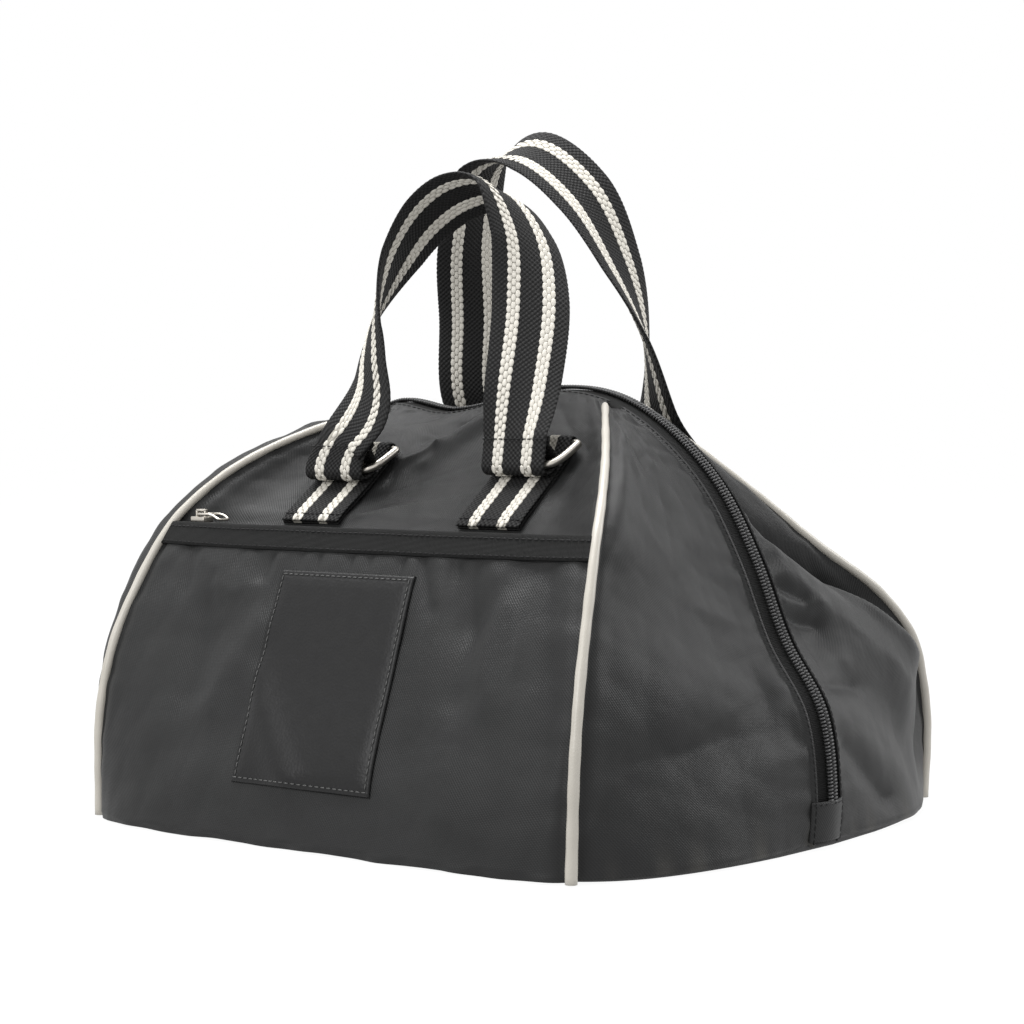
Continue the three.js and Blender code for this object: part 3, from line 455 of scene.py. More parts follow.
tone = mixed(tree, clouds, (0.0095, 0.0095, 0.0099), (0.0192, 0.0196, 0.0194))
woven = maths(tree, "ADD", twill, maths(tree, "MULTIPLY", weft, 0.4))
threads = maths(tree, "MULTIPLY_ADD", woven, 0.14)
threads.node.inputs[2].default_value = 1.0
lit = node(tree, "ShaderNodeVectorMath", {0: tone, "Scale": threads}, operation="SCALE")[0]
dusty = mixed(tree, worn, lit, (0.1, 0.094, 0.082))
tree.links.new(dusty, shader.inputs["Base Color"])
relief = maths(tree, "MULTIPLY", maths(tree, "ADD", twill, maths(tree, "MULTIPLY", weft, 0.5)), 0.1)
bumped(tree, shader, maths(tree, "ADD", relief, crumple), 0.0006, 0.55)

HEM = [(10.3, 0.3), (9.7, 0.7), (8.9, 0.8), (8.5, 0.1)]
TOPSTITCH = (9.7, 0.75)
topstitches = []
breadth, height = GUSSET_FLAT
for face, towards in (("front", -1), ("back", 1)):
    for name, side in (("right", 1), ("left", -1)):
        v, t = np.meshgrid(np.linspace(0, 1, 72), np.linspace(0, 1, 144))
        flat = gusset_point(face, side, v, t)
        away_seam = np.linalg.norm(flat - flat[:, :1], axis=-1)
        away_zip = np.linalg.norm(flat - flat[:, -1:], axis=-1)
        depth = sunk(GUSSET_FOLDS[face, name], *GUSSET_FLAT, v, t)
        depth = depth + creased(GUSSET_CREASES[face], *GUSSET_FLAT, v, t)
        if face == "back":
            drop, tuck, below = lapped(*GUSSET_FLAT, v, t)
            depth += drop * smooth_step(away_seam, 0, 14)
        puckered = puckers(t * height, away_seam, 0.6, 9) + puckers(t * 248 + 9, away_zip, 1.0, 11)
        depth += puckered + seam_groove(away_seam)
        if (face, name) == ("front", "left"):
            depth -= np.interp(t, *ROLL) * np.exp(-(((away_seam - 5) / 4) ** 2))
        calm = np.clip(np.minimum(away_seam, away_zip) / 12, 0, 1)
        depth += crinkled(v * breadth, t * height, 7 if face == "front" else 11) * calm
        outward = normals_of(flat)
        cloth = flat - outward * depth[..., None]
        if face == "back":
            along_v, along_t = (
                d / np.linalg.norm(d, axis=-1, keepdims=True) for d in np.gradient(flat, axis=(1, 0))
            )
            cloth = cloth + (along_v * below[..., :1] + along_t * below[..., 1:]) * tuck[..., None]
        hem_share = zip_share(side, t[:, 0])
        topstitches.append((on_zip(hem_share, towards * TOPSTITCH[0], TOPSTITCH[1]), arch_normal(hem_share)))
        hem_y, hem_lift = np.array(HEM).T
        hem = on_zip(zip_share(side, t[:, :1]), towards * hem_y[None], hem_lift[None])
        across = np.concatenate([v * breadth, breadth + ZIP["reach"] - hem_y + 0 * t[:, :4]], axis=1)
        grid = np.concatenate([cloth, hem], axis=1)
        grid = np.concatenate([grid[:1] + (-0.4 * side, 0, -FOOT_DROP), grid])
        rise = np.concatenate([[[-FOOT_DROP]], t[:, :1] * height])
        uv = np.stack(np.broadcast_arrays(np.concatenate([across[:1], across]), rise), -1)
        in_places = np.clip(np.sin(grid[..., 1] / 9.1) * np.sin(grid[..., 1] / 3.7 + 1), 0, 1)
        scuffed = np.exp(-grid[..., 2] / 6) * in_places
        panel = cloth_piece(f"gusset_cloth_{face}_{name}", grid, uv, CLOTH, 0.45 * scuffed)
        dressed(panel, nylon, "nylon", f"gusset_{face}_{name}")

# Piping. A cord covered in smooth cream cloth is sewn into each of the four corner seams, from the
# floor to just under the zip's edge.
piping_cream, tree, shader = new_material(
    "piping_cream", (0.3, 0.283, 0.248), 0.36, **{"Specular IOR Level": 0.5}
)
place = node(tree, "ShaderNodeTexCoord")["Object"]
soil = node(tree, "ShaderNodeTexNoise", {"Vector": place, "Scale": 60.0, "Detail": 5.0})[0]
tree.links.new(mixed(tree, soil, (0.3, 0.282, 0.246), (0.4, 0.38, 0.342)), shader.inputs["Base Color"])
fine = node(tree, "ShaderNodeTexNoise", {"Vector": place, "Scale": 1400.0, "Detail": 2.0})[0]
bumped(tree, shader, fine, 0.00015, 0.6)


def tube(name, path, radius, sides, up, closed=False):
    if closed:
        tangent = np.roll(path, -1, axis=0) - np.roll(path, 1, axis=0)
    else:
        tangent = np.gradient(path, axis=0)
    tangent /= np.linalg.norm(tangent, axis=1, keepdims=True)
    up = np.asarray(up, float) - tangent * (tangent @ np.asarray(up, float))[:, None]
    up /= np.linalg.norm(up, axis=1, keepdims=True)
    aside = np.cross(tangent, up)
    angle = np.linspace(0, 2 * np.pi, sides, endpoint=False)
    radius = np.broadcast_to(np.asarray(radius, float), (len(path),))[:, None, None]
    cosine, sine = (turned[None, :, None] for turned in (np.cos(angle), np.sin(angle)))
    points = path[:, None] + radius * (up[:, None] * cosine + aside[:, None] * sine)
    index = np.arange(len(path) * sides).reshape(len(path), sides)
    after = np.roll(index, -1, axis=1)
    following = np.roll(index, -1, axis=0)
    ahead = np.roll(after, -1, axis=0)
    last = len(path) if closed else len(path) - 1
    quads = np.stack([index[:last], following[:last], ahead[:last], after[:last]], -1)
    faces = quads.reshape(-1, 4).tolist()
    if not closed:
        faces += [index[0].tolist(), index[-1][::-1].tolist()]
    return put(name, points.reshape(-1, 3) * MM, [f[::-1] for f in faces])


for face in ("front", "back"):
    for name, side in (("right", 1), ("left", -1)):
        path = raised(seams[face](np.linspace(0, 1, 150)), side < 0) * (side, 1, 1)
        path = np.concatenate([path[:1] - [[0, 0, 2.6]], path])
        step = np.arange(len(path))
        wobble = np.linspace(2.35, 1.5, len(path)) + 0.06 * np.sin(step * 0.7) + 0.05 * np.sin(step * 0.31)
        wobble[-3:] *= (0.96, 0.85, 0.6)
        cord = tube(f"piping_cord_{face}_{name}", path, wobble, 14, (side, 0, 0.4))
        dressed(cord, piping_cream, "piping", f"piping_{face}_{name}")

# Front and back panels. Charcoal nylon again: each leans from the base or pocket up to the zip, hangs
# flat behind the webbing tabs and turns to the piping at both sides.
POCKET_MIDDLE = [(0, -136.5, 3.3), (0, -134, 27), (0, -120, 66), (0, -106, 106), (0, -98.5, 124)]
FRONT_MIDDLE = [(0, -75, 123), (0, -54, 141.2), (0, -31, 162), (0, -10.8, 176.6)]
BACK_MIDDLE = [
    (0, 150.5, 3.3), (0, 160, 30), (0, 157, 52), (0, 146, 72), (0, 121, 94),
    (0, 80, 119), (0, 53, 143), (0, 31, 163), (0, 10.8, 176.6),
]
FRONT_PANEL_FOLDS = [
    ((0.44, 0.5), (0.55, 0.86), -2.5, 6), ((0.36, 0.8), (0.5, 0.92), 3, 9), ((0.3, 0.2), (0.42, 0.5), 1.0, 14),
    ((0.6, 0.25), (0.58, 0.7), 1.2, 12), ((0.84, 0.1), (0.9, 0.55), 1.0, 10),
    ((0.08, 0.2), (0.2, 0.6), 1.2, 12),
]
FRONT_PANEL_CREASES = [
    ((0.36, 0.5), (0.445, 0.61), -2.2, 4), ((0.445, 0.61), (0.53, 0.84), -2.0, 4),
    ((0.36, 0.68), (0.46, 0.88), 1.8, 6),
    ((0.38, 0.1), (0.5, 0.2), -1.2, 4), ((0.9, 0.62), (0.8, 0.9), 1.2, 5), ((0.7, 0.15), (0.8, 0.3), -0.8, 6),
]
BACK_PANEL_FOLDS = [
    ((0.15, 0.5), (0.85, 0.47), 5, 24), ((0.3, 0.3), (0.55, 0.42), -2, 12), ((0.55, 0.58), (0.8, 0.72), 2, 10),
]
UPPER_FLAT, BACK_FLAT, POCKET_FLAT = (190, 118), (220, 250), (240, 125)
FLAT_HALF, TOP_HALF = 71, FRONT_SEAM[-1][0]
HEM_SQUARENESS, HEM_SWAY = 3, 0.03
lower_seam, upper_seam = curve_through(FRONT_SEAM[:5]), curve_through(FRONT_SEAM[4:])
pocket_middle, front_middle, back_middle = (
    curve_through(rows) for rows in (POCKET_MIDDLE, FRONT_MIDDLE, BACK_MIDDLE)
)


def between(seam, middle, x, bend):
    points = middle + (seam - middle) * bend[..., None]
    points[..., 0] = x
    return points


def pocket_point(f, t):
    f, t = np.broadcast_arrays(np.asarray(f, float), np.asarray(t, float))
    seam = lower_seam(t)
    low = (1 - t) ** 2
    bend = np.abs(f) ** (4 + HEM_SQUARENESS * low)
    points = between(seam, pocket_middle(t), seam[..., 0] * f, bend)
    points[..., 1] += HEM_SWAY * low * (1 - bend) * points[..., 0]
    return points


def hung_point(seam_curve, middle_curve, towards, f, t):
    f, t = np.broadcast_arrays(np.asarray(f, float), np.asarray(t, float))
    seam = raised(seam_curve(t), f < 0)
    x = seam[..., 0] * f
    flat = np.minimum(FLAT_HALF, 0.8 * seam[..., 0])
    beyond = np.maximum(0, np.abs(x) - flat) / (seam[..., 0] - flat)
    points = between(seam, middle_curve(t), x, beyond**1.6)
    top_edge = on_zip(share_at_x(seam_curve(1)[0] * f), towards * ZIP["reach"], 0)
    pull = smooth_step(t, 0.72, 1)[..., None]
    return points + pull * (top_edge - middle_curve(1)) * (0, 1, 1)


def upper_front_point(f, t):
    points = hung_point(upper_seam, front_middle, -1, f, t)
    points[..., 1] += 2 * (1 - smooth_step(np.asarray(t, float), 0, 0.12))
    return points


def lower_front_point(f, t):
    points = pocket_point(f, t)
    depth_at_top = upper_front_point(f, 0 * t)[..., 1] - pocket_point(f, 0 * t + 1)[..., 1]
    points[..., 1] += 2 + (depth_at_top - 2) * t
    return points


def back_point(f, t):
    f, t = np.broadcast_arrays(np.asarray(f, float), np.asarray(t, float))
    seam = seams["back"](t)
    bowed = between(seam, back_middle(t), seam[..., 0] * f, np.abs(f) ** 4)
    hung = hung_point(seams["back"], back_middle, 1, f, t)
    return bowed + (hung - bowed) * smooth_step(t, 0.35, 0.55)[..., None]


def hem_over_zip(f, towards):
    y, lift = np.array(HEM).T[..., None]
    return on_zip(share_at_x(TOP_HALF * f), towards * y, lift)


def away_from_seams(grid):
    return np.minimum(*(np.linalg.norm(grid - edge, axis=-1) for edge in (grid[:, :1], grid[:, -1:])))


f, t = np.meshgrid(np.linspace(-1, 1, 140), np.linspace(0, 1, 90))
flat = upper_front_point(f, t)
width, height = UPPER_FLAT
away = away_from_seams(flat)
depth = sunk(FRONT_PANEL_FOLDS, *UPPER_FLAT, (f + 1) / 2, t)
depth = depth + creased(FRONT_PANEL_CREASES, *UPPER_FLAT, (f + 1) / 2, t)
depth += puckers(t * height, away, 0.6, 10) + puckers(f * width / 2 + 200, (1 - t) * height, 0.8, 9)
depth += seam_groove(away) + crinkled(f * width / 2, t * height, 3) * np.clip(away / 12, 0, 1)
upper = flat - normals_of(flat) * depth[..., None]
hem_share = share_at_x(TOP_HALF * f[0])
topstitches.append((on_zip(hem_share, -TOPSTITCH[0], TOPSTITCH[1]), arch_normal(hem_share)))
low_f, low_t = np.meshgrid(np.linspace(-1, 1, 140), np.linspace(0, 1, 24)[:-1])
grid = np.concatenate([lower_front_point(low_f, low_t), upper, hem_over_zip(f[:1], -1)])
low_height = POCKET_FLAT[1]
hem_rise = np.linspace(244, 248, 4)[:, None] + 0 * f[:4]
rise = np.concatenate([low_t * low_height, low_height + t * height, hem_rise])
uv = np.stack([np.concatenate([low_f, f, f[:4]]) * BACK_FLAT[0] / 2, rise], -1)
dressed(cloth_piece("front_cloth", grid, uv, CLOTH), nylon, "nylon", "front_panel")

f, t = np.meshgrid(np.linspace(-1, 1, 120), np.linspace(0, 1, 130))
flat = back_point(f, t)
width, height = BACK_FLAT
away = away_from_seams(flat)
depth = sunk(BACK_PANEL_FOLDS, *BACK_FLAT, (f + 1) / 2, t) + puckers(t * height, away, 0.8, 10)
depth += seam_groove(away) + crinkled(f * width / 2, t * height, 13) * np.clip(away / 12, 0, 1)
back = flat - normals_of(flat) * depth[..., None]
topstitches.append((on_zip(hem_share, TOPSTITCH[0], TOPSTITCH[1]), arch_normal(hem_share)))
grid = np.concatenate([back, hem_over_zip(f[:1], 1)])
rise = np.concatenate([t * height, np.linspace(251, 255, 4)[:, None] + 0 * f[:4]])
uv = np.stack([np.concatenate([f, f[:4]]) * width / 2, rise], -1)
dressed(cloth_piece("back_cloth", grid, uv, CLOTH), nylon, "nylon", "back_panel")

# Front pocket. A bowed panel of the same nylon in front of the front panel, down to the floor, with a
# flat black ribbon folded over its top edge and held by two rows of stitches.
POCKET_FOLDS = [
    ((0.78, 0.72), (0.88, 0.93), 2, 9), ((0.6, 0.12), (0.85, 0.24), 1, 13),
    ((0.755, 0.9), (0.775, 0.5), 1.8, 9), ((0.83, 0.85), (0.86, 0.5), -2.0, 11),
    ((0.925, 0.88), (0.93, 0.6), 1.8, 8), ((0.965, 0.6), (0.96, 0.3), 1.5, 7),
    ((0.33, 0.66), (0.27, 0.4), -1.6, 8), ((0.2, 0.7), (0.22, 0.45), 1.6, 10),
    ((0.1, 0.1), (0.24, 0.3), 0.8, 12), ((0.45, 0.02), (0.55, 0.1), 0.6, 9),
    ((0.36, 0.5), (0.47, 0.2), -1.3, 8), ((0.68, 0.3), (0.95, 0.5), 0.8, 11),
    ((0.8, 0.55), (0.78, 0.15), -1.6, 15),
]
POCKET_CREASES = [
    ((0.655, 0.92), (0.69, 0.76), 1.5, 4), ((0.69, 0.93), (0.7, 0.8), -1.0, 4),
    ((0.09, 0.94), (0.13, 0.78), 1.2, 5), ((0.15, 0.93), (0.24, 0.8), -1.1, 5),
    ((0.2, 0.8), (0.31, 0.8), -1.0, 5), ((0.27, 0.93), (0.3, 0.84), 1.0, 5),
]
FOLD_DEPTH, RIBBON_FROM, RIBBON_DEPTH = 1.4, 0.93, 9.5
POCKET_RISE = 126
f, t = np.meshgrid(np.linspace(-1, 1, 160), np.linspace(0, 1, 86))
pocket = pocket_point(f, t)
width, height = POCKET_FLAT
away = away_from_seams(pocket)
below_ribbon = np.maximum(0, RIBBON_FROM - t)
depth = FOLD_DEPTH * sunk(POCKET_FOLDS, *POCKET_FLAT, (f + 1) / 2, t)
depth = depth + creased(POCKET_CREASES, *POCKET_FLAT, (f + 1) / 2, t)
gathered = smooth_step(f, -0.9, -0.3) * (1 - smooth_step(f, 0.45, 0.65))
depth += puckers(t * height, away, 0.6, 9) + seam_groove(away)
depth += crinkled(f * width / 2, t * height, 5) * np.clip(away / 12, 0, 1)
depth += (0.4 + gathered) * puckers(f * 150 + 300, below_ribbon * height, 1.1, 12)
depth = np.maximum(depth, -0.5 - 8 * below_ribbon)
pocket_normals = normals_of(pocket)
folded_pocket = pocket - pocket_normals * depth[..., None]
foot = folded_pocket[:1] + np.array([[[0, 0.2, -1.0]], [[0, 0.4, -2.0]], [[0, 0.5, -2.9]]])
hem_x = f[:1] * width / 2
foot[..., 1] -= 0.35 * np.sin(hem_x / 5.3) + 0.25 * np.sin(hem_x / 2.9 + 1)
foot[..., 2] += np.array([[0], [0.1], [0.25]]) * (1 + np.sin(hem_x / 8.1))
grid = np.concatenate([foot[::-1], folded_pocket])
rise = np.concatenate([np.array([[-3.0], [-2.0], [-1.0]]) + 0 * f[:3], t * height])
uv = np.stack([np.concatenate([f[:3], f]) * width / 2, rise], -1)
dressed(cloth_piece("pocket_cloth", grid, uv, CLOTH), nylon, "nylon", "pocket")

ribbon_black, tree, shader = new_material(
    "ribbon_black", (0.0062, 0.0063, 0.0062), 0.6, **{"Specular IOR Level": 0.1}
)
thread_place = node(tree, "ShaderNodeUVMap", uv_map="cloth")[0]
u, v, _ = node(tree, "ShaderNodeSeparateXYZ", {0: thread_place})
ribs = waves(tree, u, 0.7 * MM)
bumped(tree, shader, maths(tree, "ADD", ribs, waves(tree, v, 0.5 * MM)), 0.00012, 0.6)

f, t = np.meshgrid(np.linspace(-1, 1, 160), np.linspace(1 - RIBBON_DEPTH / POCKET_RISE, 1, 9))
band = pocket_point(f, t)
band_normals = normals_of(band)
stand_off = 1.2 + 0.15 * np.sin(f * width / 2 / 9)
band = band + band_normals * stand_off[..., None]
over = band[-1:] + np.array([[[0, 0.5, 0.7]], [[0, 1.6, 0.9]], [[0, 2.8, 0.6]]])
grid = np.concatenate([band, over])
rise = np.concatenate([t * POCKET_RISE, np.array([[127.0], [128.0], [129.0]]) + 0 * f[:3]])
uv = np.stack([np.concatenate([f, f[:3]]) * width / 2, rise], -1)
dressed(cloth_piece("pocket_ribbon", grid, uv, 0.9), ribbon_black, "ribbon", "pocket_binding")

# Threads. Lock stitches in black thread: along the zip's hems, in two rows on the pocket's ribbon, round
# the zip's ends, across the tabs' feet and the handles' loops. Each stitch is a short plump bar.
thread_black = new_material("thread_black", (0.006, 0.006, 0.0062), 0.6, **{"Specular IOR Level": 0.2})[0]


def repeat_tree():
    tree = bpy.data.node_groups.new("repeat_on_spots", "GeometryNodeTree")
    face = tree.interface
    face.new_socket("Spots", in_out="INPUT", socket_type="NodeSocketGeometry")
    names = [("Size", "NodeSocketVector"), ("Turn", "NodeSocketFloat"), ("Material", "NodeSocketMaterial")]
    sockets = {
        name: face.new_socket(name, in_out="INPUT", socket_type=kind).identifier for name, kind in names
    }
    face.new_socket("Pieces", in_out="OUTPUT", socket_type="NodeSocketGeometry")
    given = tree.nodes.new("NodeGroupInput").outputs
    ball = node(tree, "GeometryNodeMeshUVSphere", {"Segments": 8, "Rings": 4, "Radius": 1.0})[0]
    up, along = (
        node(tree, "GeometryNodeInputNamedAttribute", {"Name": name}, data_type="FLOAT_VECTOR")[0]
        for name in ("up", "along")
    )
    axes = {"primary_axis": "Z", "secondary_axis": "X"}
    facing = node(tree, "FunctionNodeAxesToRotation", {0: up, 1: along}, **axes)[0]
    twist = node(tree, "FunctionNodeAxisAngleToRotation", {"Axis": (0, 0, 1), "Angle": given["Turn"]})[0]
    turned = node(tree, "FunctionNodeRotateRotation", {0: facing, 1: twist}, rotation_space="LOCAL")[0]
    spread = node(
        tree, "GeometryNodeInstanceOnPoints",
        {"Points": given["Spots"], "Instance": ball, "Rotation": turned, "Scale": given["Size"]},
    )[0]
    whole = node(tree, "GeometryNodeRealizeInstances", {0: spread})[0]
    smooth = node(tree, "GeometryNodeSetShadeSmooth", {0: whole})[0]
    painted = node(tree, "GeometryNodeSetMaterial", {"Geometry": smooth, "Material": given["Material"]})[0]
    tree.links.new(painted, tree.nodes.new("NodeGroupOutput").inputs[0])
    return tree, sockets


REPEAT, REPEAT_SOCKETS = repeat_tree()


def spaced(line, ups, spacing, shift=0.0):
    run = lengths_along(line)
    stops = np.arange(shift, run[-1], spacing)
    at, ahead, behind = (read_off(stops + d, run, line) for d in (0, 0.5, -0.5))
    return at, ahead - behind, read_off(stops, run, ups)


def repeat_on(name, spots, size, material, turn=0.0):
    at, along, up = (np.concatenate(parts) for parts in zip(*spots))
    mesh = bpy.data.meshes.new(name)
    mesh.from_pydata((at * MM).tolist(), [], [])
    for key, value in (("along", along), ("up", up)):
        mesh.attributes.new(key, "FLOAT_VECTOR", "POINT").data.foreach_set("vector", value.ravel())
    made = bpy.data.objects.new(name, mesh)
    scene.collection.objects.link(made)
    repeat = made.modifiers.new("repeat", "NODES")
    repeat.node_group = REPEAT
    for key, value in (("Size", [s * MM for s in size]), ("Turn", turn), ("Material", material)):
        repeat[REPEAT_SOCKETS[key]] = value
    bpy.context.view_layer.update()
    evaluated = made.evaluated_get(bpy.context.evaluated_depsgraph_get())
    finished = bpy.data.meshes.new_from_object(evaluated)
    made.modifiers.clear()
    made.data = finished
    return made


STITCH = {"half": (1.2, 0.28, 0.22), "spacing": 2.9}
stitch_lines = topstitches + [(band[row] + band_normals[row] * 0.1, band_normals[row]) for row in (1, 7)]

# Leather patch. A plain black patch of fine-grained leather, its edge pressed down a little and sewn on
# with one row of stitches two millimetres in from the edge, their dark thread painted grey as sheen.
PATCH = {"half_width": 35.5, "from": 0.165, "to": 0.86, "columns": 72, "rows": 88, "stitch_in": 2.0}
leather, tree, shader = new_material(
    "leather_black", (0.005, 0.005, 0.0052), 0.42, **{"Specular IOR Level": 0.27}
)
place = node(tree, "ShaderNodeUVMap", uv_map="cloth")[0]
pebble = node(tree, "ShaderNodeTexVoronoi", {"Vector": place, "Scale": 900.0})["Distance"]
soft = node(tree, "ShaderNodeTexNoise", {"Vector": place, "Scale": 160.0, "Detail": 3.0})[0]
grain = maths(tree, "ADD", maths(tree, "MULTIPLY", pebble, 0.4), soft)
bumped(tree, shader, grain, 0.00035, 0.5)
rough = node(tree, "ShaderNodeMapRange", {0: soft, 3: 0.32, 4: 0.5})[0]
tree.links.new(rough, shader.inputs["Roughness"])

a, t = np.meshgrid(
    np.linspace(-1, 1, PATCH["columns"]), np.linspace(PATCH["from"], PATCH["to"], PATCH["rows"])
)
f = a * PATCH["half_width"] / lower_seam(t)[..., 0]
flat = pocket_point(f, t)
patch_normals = normals_of(flat)
from_ends = np.minimum(t - PATCH["from"], PATCH["to"] - t) * POCKET_RISE
edge_away = np.minimum((1 - np.abs(a)) * PATCH["half_width"], from_ends)
sewn_groove = 0.4 * np.exp(-(((edge_away - PATCH["stitch_in"]) / 0.8) ** 2))
stand = 1.0 + 0.9 * smooth_step(edge_away, 0, 1.2) - sewn_groove
stand += 0.35 * smooth_step(edge_away, 2.6, 7)
depth = FOLD_DEPTH * sunk(POCKET_FOLDS, *POCKET_FLAT, (f + 1) / 2, t)
depth = depth + 0.6 * creased(POCKET_CREASES, *POCKET_FLAT, (f + 1) / 2, t)
patch = flat + patch_normals * (stand - depth)[..., None]
uv = np.stack([a * PATCH["half_width"], t * POCKET_RISE], -1)
dressed(cloth_piece("leather_patch", patch, uv, 0.9), leather, "leather", "patch")
inset = PATCH["stitch_in"]
last_column, last_row = PATCH["columns"] - 1, PATCH["rows"] - 1
column = np.clip(np.array([0, 1, 1, 0, 0]) * last_column, inset, last_column - inset)
row = np.clip(np.array([0, 0, 1, 1, 0]) * last_row, inset, last_row - inset)
corner_run = np.linspace(0, 4, 241)
column, row = (np.rint(np.interp(corner_run, range(5), line)).astype(int) for line in (column, row))
# Painted sheen: the patch's dark thread is coloured light grey for the sheen on it; the same thread elsewhere
# is black.
patch_thread = new_material("thread_painted_sheen", (0.05, 0.05, 0.049), 0.5, **{"Specular IOR Level": 0.4})[0]
sewn_normals = patch_normals[row, column]
patch_stitches = [spaced(patch[row, column] + sewn_normals * 0.25, sewn_normals, STITCH["spacing"])]
dressed(repeat_on("patch_threads", patch_stitches, STITCH["half"], patch_thread), None, "leather")

# Main zip. Two black tapes and a nylon coil arch over the bag from side to side; a cloth patch covers
# each end above the base. The metal slider is parked at the left end with its pull hanging down.
right_end = arch_shares[:400][arch_points[:400, 2] > ZIP["end_height"]][0]
left_end = arch_shares[-400:][arch_points[-400:, 2] > ZIP["end_height"]][-1]
shares = np.linspace(right_end, left_end, 420)
for face, towards in (("front", -1), ("back", 1)):
    y = towards * np.linspace(0.4, ZIP["half_width"], 8)
    grid = on_zip(shares[:, None], y[None], -0.6)
    uv = np.stack(np.broadcast_arrays(shares[:, None] * arch_length, y[None]), -1)
    tape = cloth_piece(f"zip_tape_cloth_{face}", grid, uv, 0.8)
    dressed(tape, ribbon_black, "ribbon", f"zip_tape_{face}")

coil_black = new_material("coil_black", (0.03, 0.03, 0.0305), 0.36, **{"Specular IOR Level": 0.35})[0]
TOOTH_PITCH, SLIDER_ROOM = 1.4, 13
END_HALF_WIDTH, END_STITCH_Y, END_LIFT, END_STITCH_LIFT = 11.8, 9.9, 1.2, 1.3
along = np.linspace(right_end, left_end - SLIDER_ROOM / arch_length, 900)
teeth = [
    spaced(on_zip(along, towards * 1.55, 0.5), arch_normal(along), TOOTH_PITCH, shift * TOOTH_PITCH)
    for towards, shift in ((-1, 0.0), (1, 0.5))
]
dressed(repeat_on("zip_coil", teeth, (0.58, 1.8, 1.0), coil_black, 0.1), None, "coil", "zip_chain")

for name, foot, end in (("right", 0.0, right_end), ("left", 1.0, left_end)):
    beyond = end + (end - foot) * 0.08
    u, y = np.meshgrid(np.linspace(foot, beyond, 20), np.linspace(-END_HALF_WIDTH, END_HALF_WIDTH, 24))
    grid = on_zip(u, y, END_LIFT)
    uv = np.stack([y, u * arch_length], -1)
    dressed(cloth_piece(f"zip_end_cloth_{name}", grid, uv, 1.2), nylon, "nylon", f"zip_end_{name}")
    for y in (-END_STITCH_Y, END_STITCH_Y):
        line = np.linspace(foot, end, 30)
        stitch_lines.append((on_zip(line, y, END_STITCH_LIFT), arch_normal(line)))
    across = np.linspace(-END_STITCH_Y, END_STITCH_Y, 30)
    top_line = on_zip(end, across, END_STITCH_LIFT)
    stitch_lines.append((top_line, np.repeat(arch_normal(end)[None], 30, 0)))

metal, tree, shader = new_material("satin_nickel", (0.56, 0.53, 0.48), 0.3, Metallic=1.0)
place = node(tree, "ShaderNodeTexCoord")["Object"]
smudge = node(tree, "ShaderNodeTexNoise", {"Vector": place, "Scale": 180.0, "Detail": 4.0})[0]
rough = node(tree, "ShaderNodeMapRange", {0: smudge, 3: 0.22, 4: 0.42})[0]
tree.links.new(rough, shader.inputs["Roughness"])


def boxes(name, spans, round_off):
    points, faces = [], []
    sides = [(0, 2, 3, 1), (4, 5, 7, 6), (0, 1, 5, 4), (2, 6, 7, 3), (0, 4, 6, 2), (1, 3, 7, 5)]
    for low, high in spans:
        start = len(points)
        xs, ys, zs = zip(low, high)
        points += [(x, y, z) for x in xs for y in ys for z in zs]
        faces += [tuple(start + k for k in s) for s in sides]
    made = put(name, np.array(points) * MM, faces)
    edge = made.modifiers.new("edge", "BEVEL")
    edge.width = round_off * MM
    edge.segments = 3
    return made


spans = [
    ((0, -5.2, 0.9), (12, 5.2, 3.2)), ((2, -1.5, 3), (3.5, 1.5, 5.2)), ((8.5, -1.5, 3), (10, 1.5, 5.2)),
    ((2, -1.5, 4.6), (10, 1.5, 5.6)), ((-11, -3.2, 3.5), (5.4, 3.2, 4.4)),
]
slider = boxes("zip_slider_body", spans, 0.4)
for corner in slider.data.vertices:
    rise, aside, lift = np.array(corner.co) / MM
    corner.co = on_zip(left_end - rise / arch_length, aside, lift) * MM
dressed(slider, metal, "metal", "zip_slider")

# Pocket zip. A tape ledge runs from the pocket's top back to the panel with a fine coil along it. Its
# small metal slider stands at the left end, and the open wire pull turns under the slider's bridge.
top_x = lower_seam(1)[0]


def ledge_point(x, share, lift):
    x, share = np.broadcast_arrays(np.asarray(x, float), np.asarray(share, float))
    front = pocket_point(x / top_x, 0 * x + 1) + (0, 1.9, -1.2)
    rear = upper_front_point(x / top_x, 0 * x) + (0, -0.6, 0.8)
    points = front + (rear - front) * share[..., None]
    points[..., 2] += lift
    return points


x, share = np.meshgrid(np.linspace(-110, 110, 120), np.linspace(-0.12, 1.08, 12))
grid = ledge_point(x, share, 0)
uv = np.stack([x, share * 20], -1)
dressed(cloth_piece("pocket_zip_cloth", grid, uv, 0.8), ribbon_black, "ribbon", "pocket_zip_tape")
x = np.linspace(-95.5, 104, 300)
upwards = np.tile((0.0, 0.0, 1.0), (300, 1))
FINE_PITCH = 1.1
teeth = [
    spaced(ledge_point(x, 0.5, 0.7) + (0, aside, 0), upwards, FINE_PITCH, shift)
    for aside, shift in ((-0.9, 0.0), (0.9, 0.55))
]
fine_coil = repeat_on("pocket_zip_coil", teeth, (0.45, 1.1, 0.55), coil_black, 0.12)
dressed(fine_coil, None, "coil", "pocket_zip_chain")

(sx0, sy0, sz0), (sx1, sy1, sz1) = (np.array(c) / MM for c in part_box("pocket_slider"))
middle_y = (sy0 + sy1) / 2
spans = [
    ((sx0, sy0, sz0), (sx1, sy1, sz0 + 2.4)),
    ((sx0 + 1, middle_y - 1, sz0 + 2), (sx0 + 2, middle_y + 1, sz1)),
    ((sx1 - 2, middle_y - 1, sz0 + 2), (sx1 - 1, middle_y + 1, sz1)),
    ((sx0 + 1, middle_y - 1, sz1 - 1), (sx1 - 1, middle_y + 1, sz1)),
]
dressed(boxes("pocket_slider_body", spans, 0.35), metal, "metal", "pocket_slider")

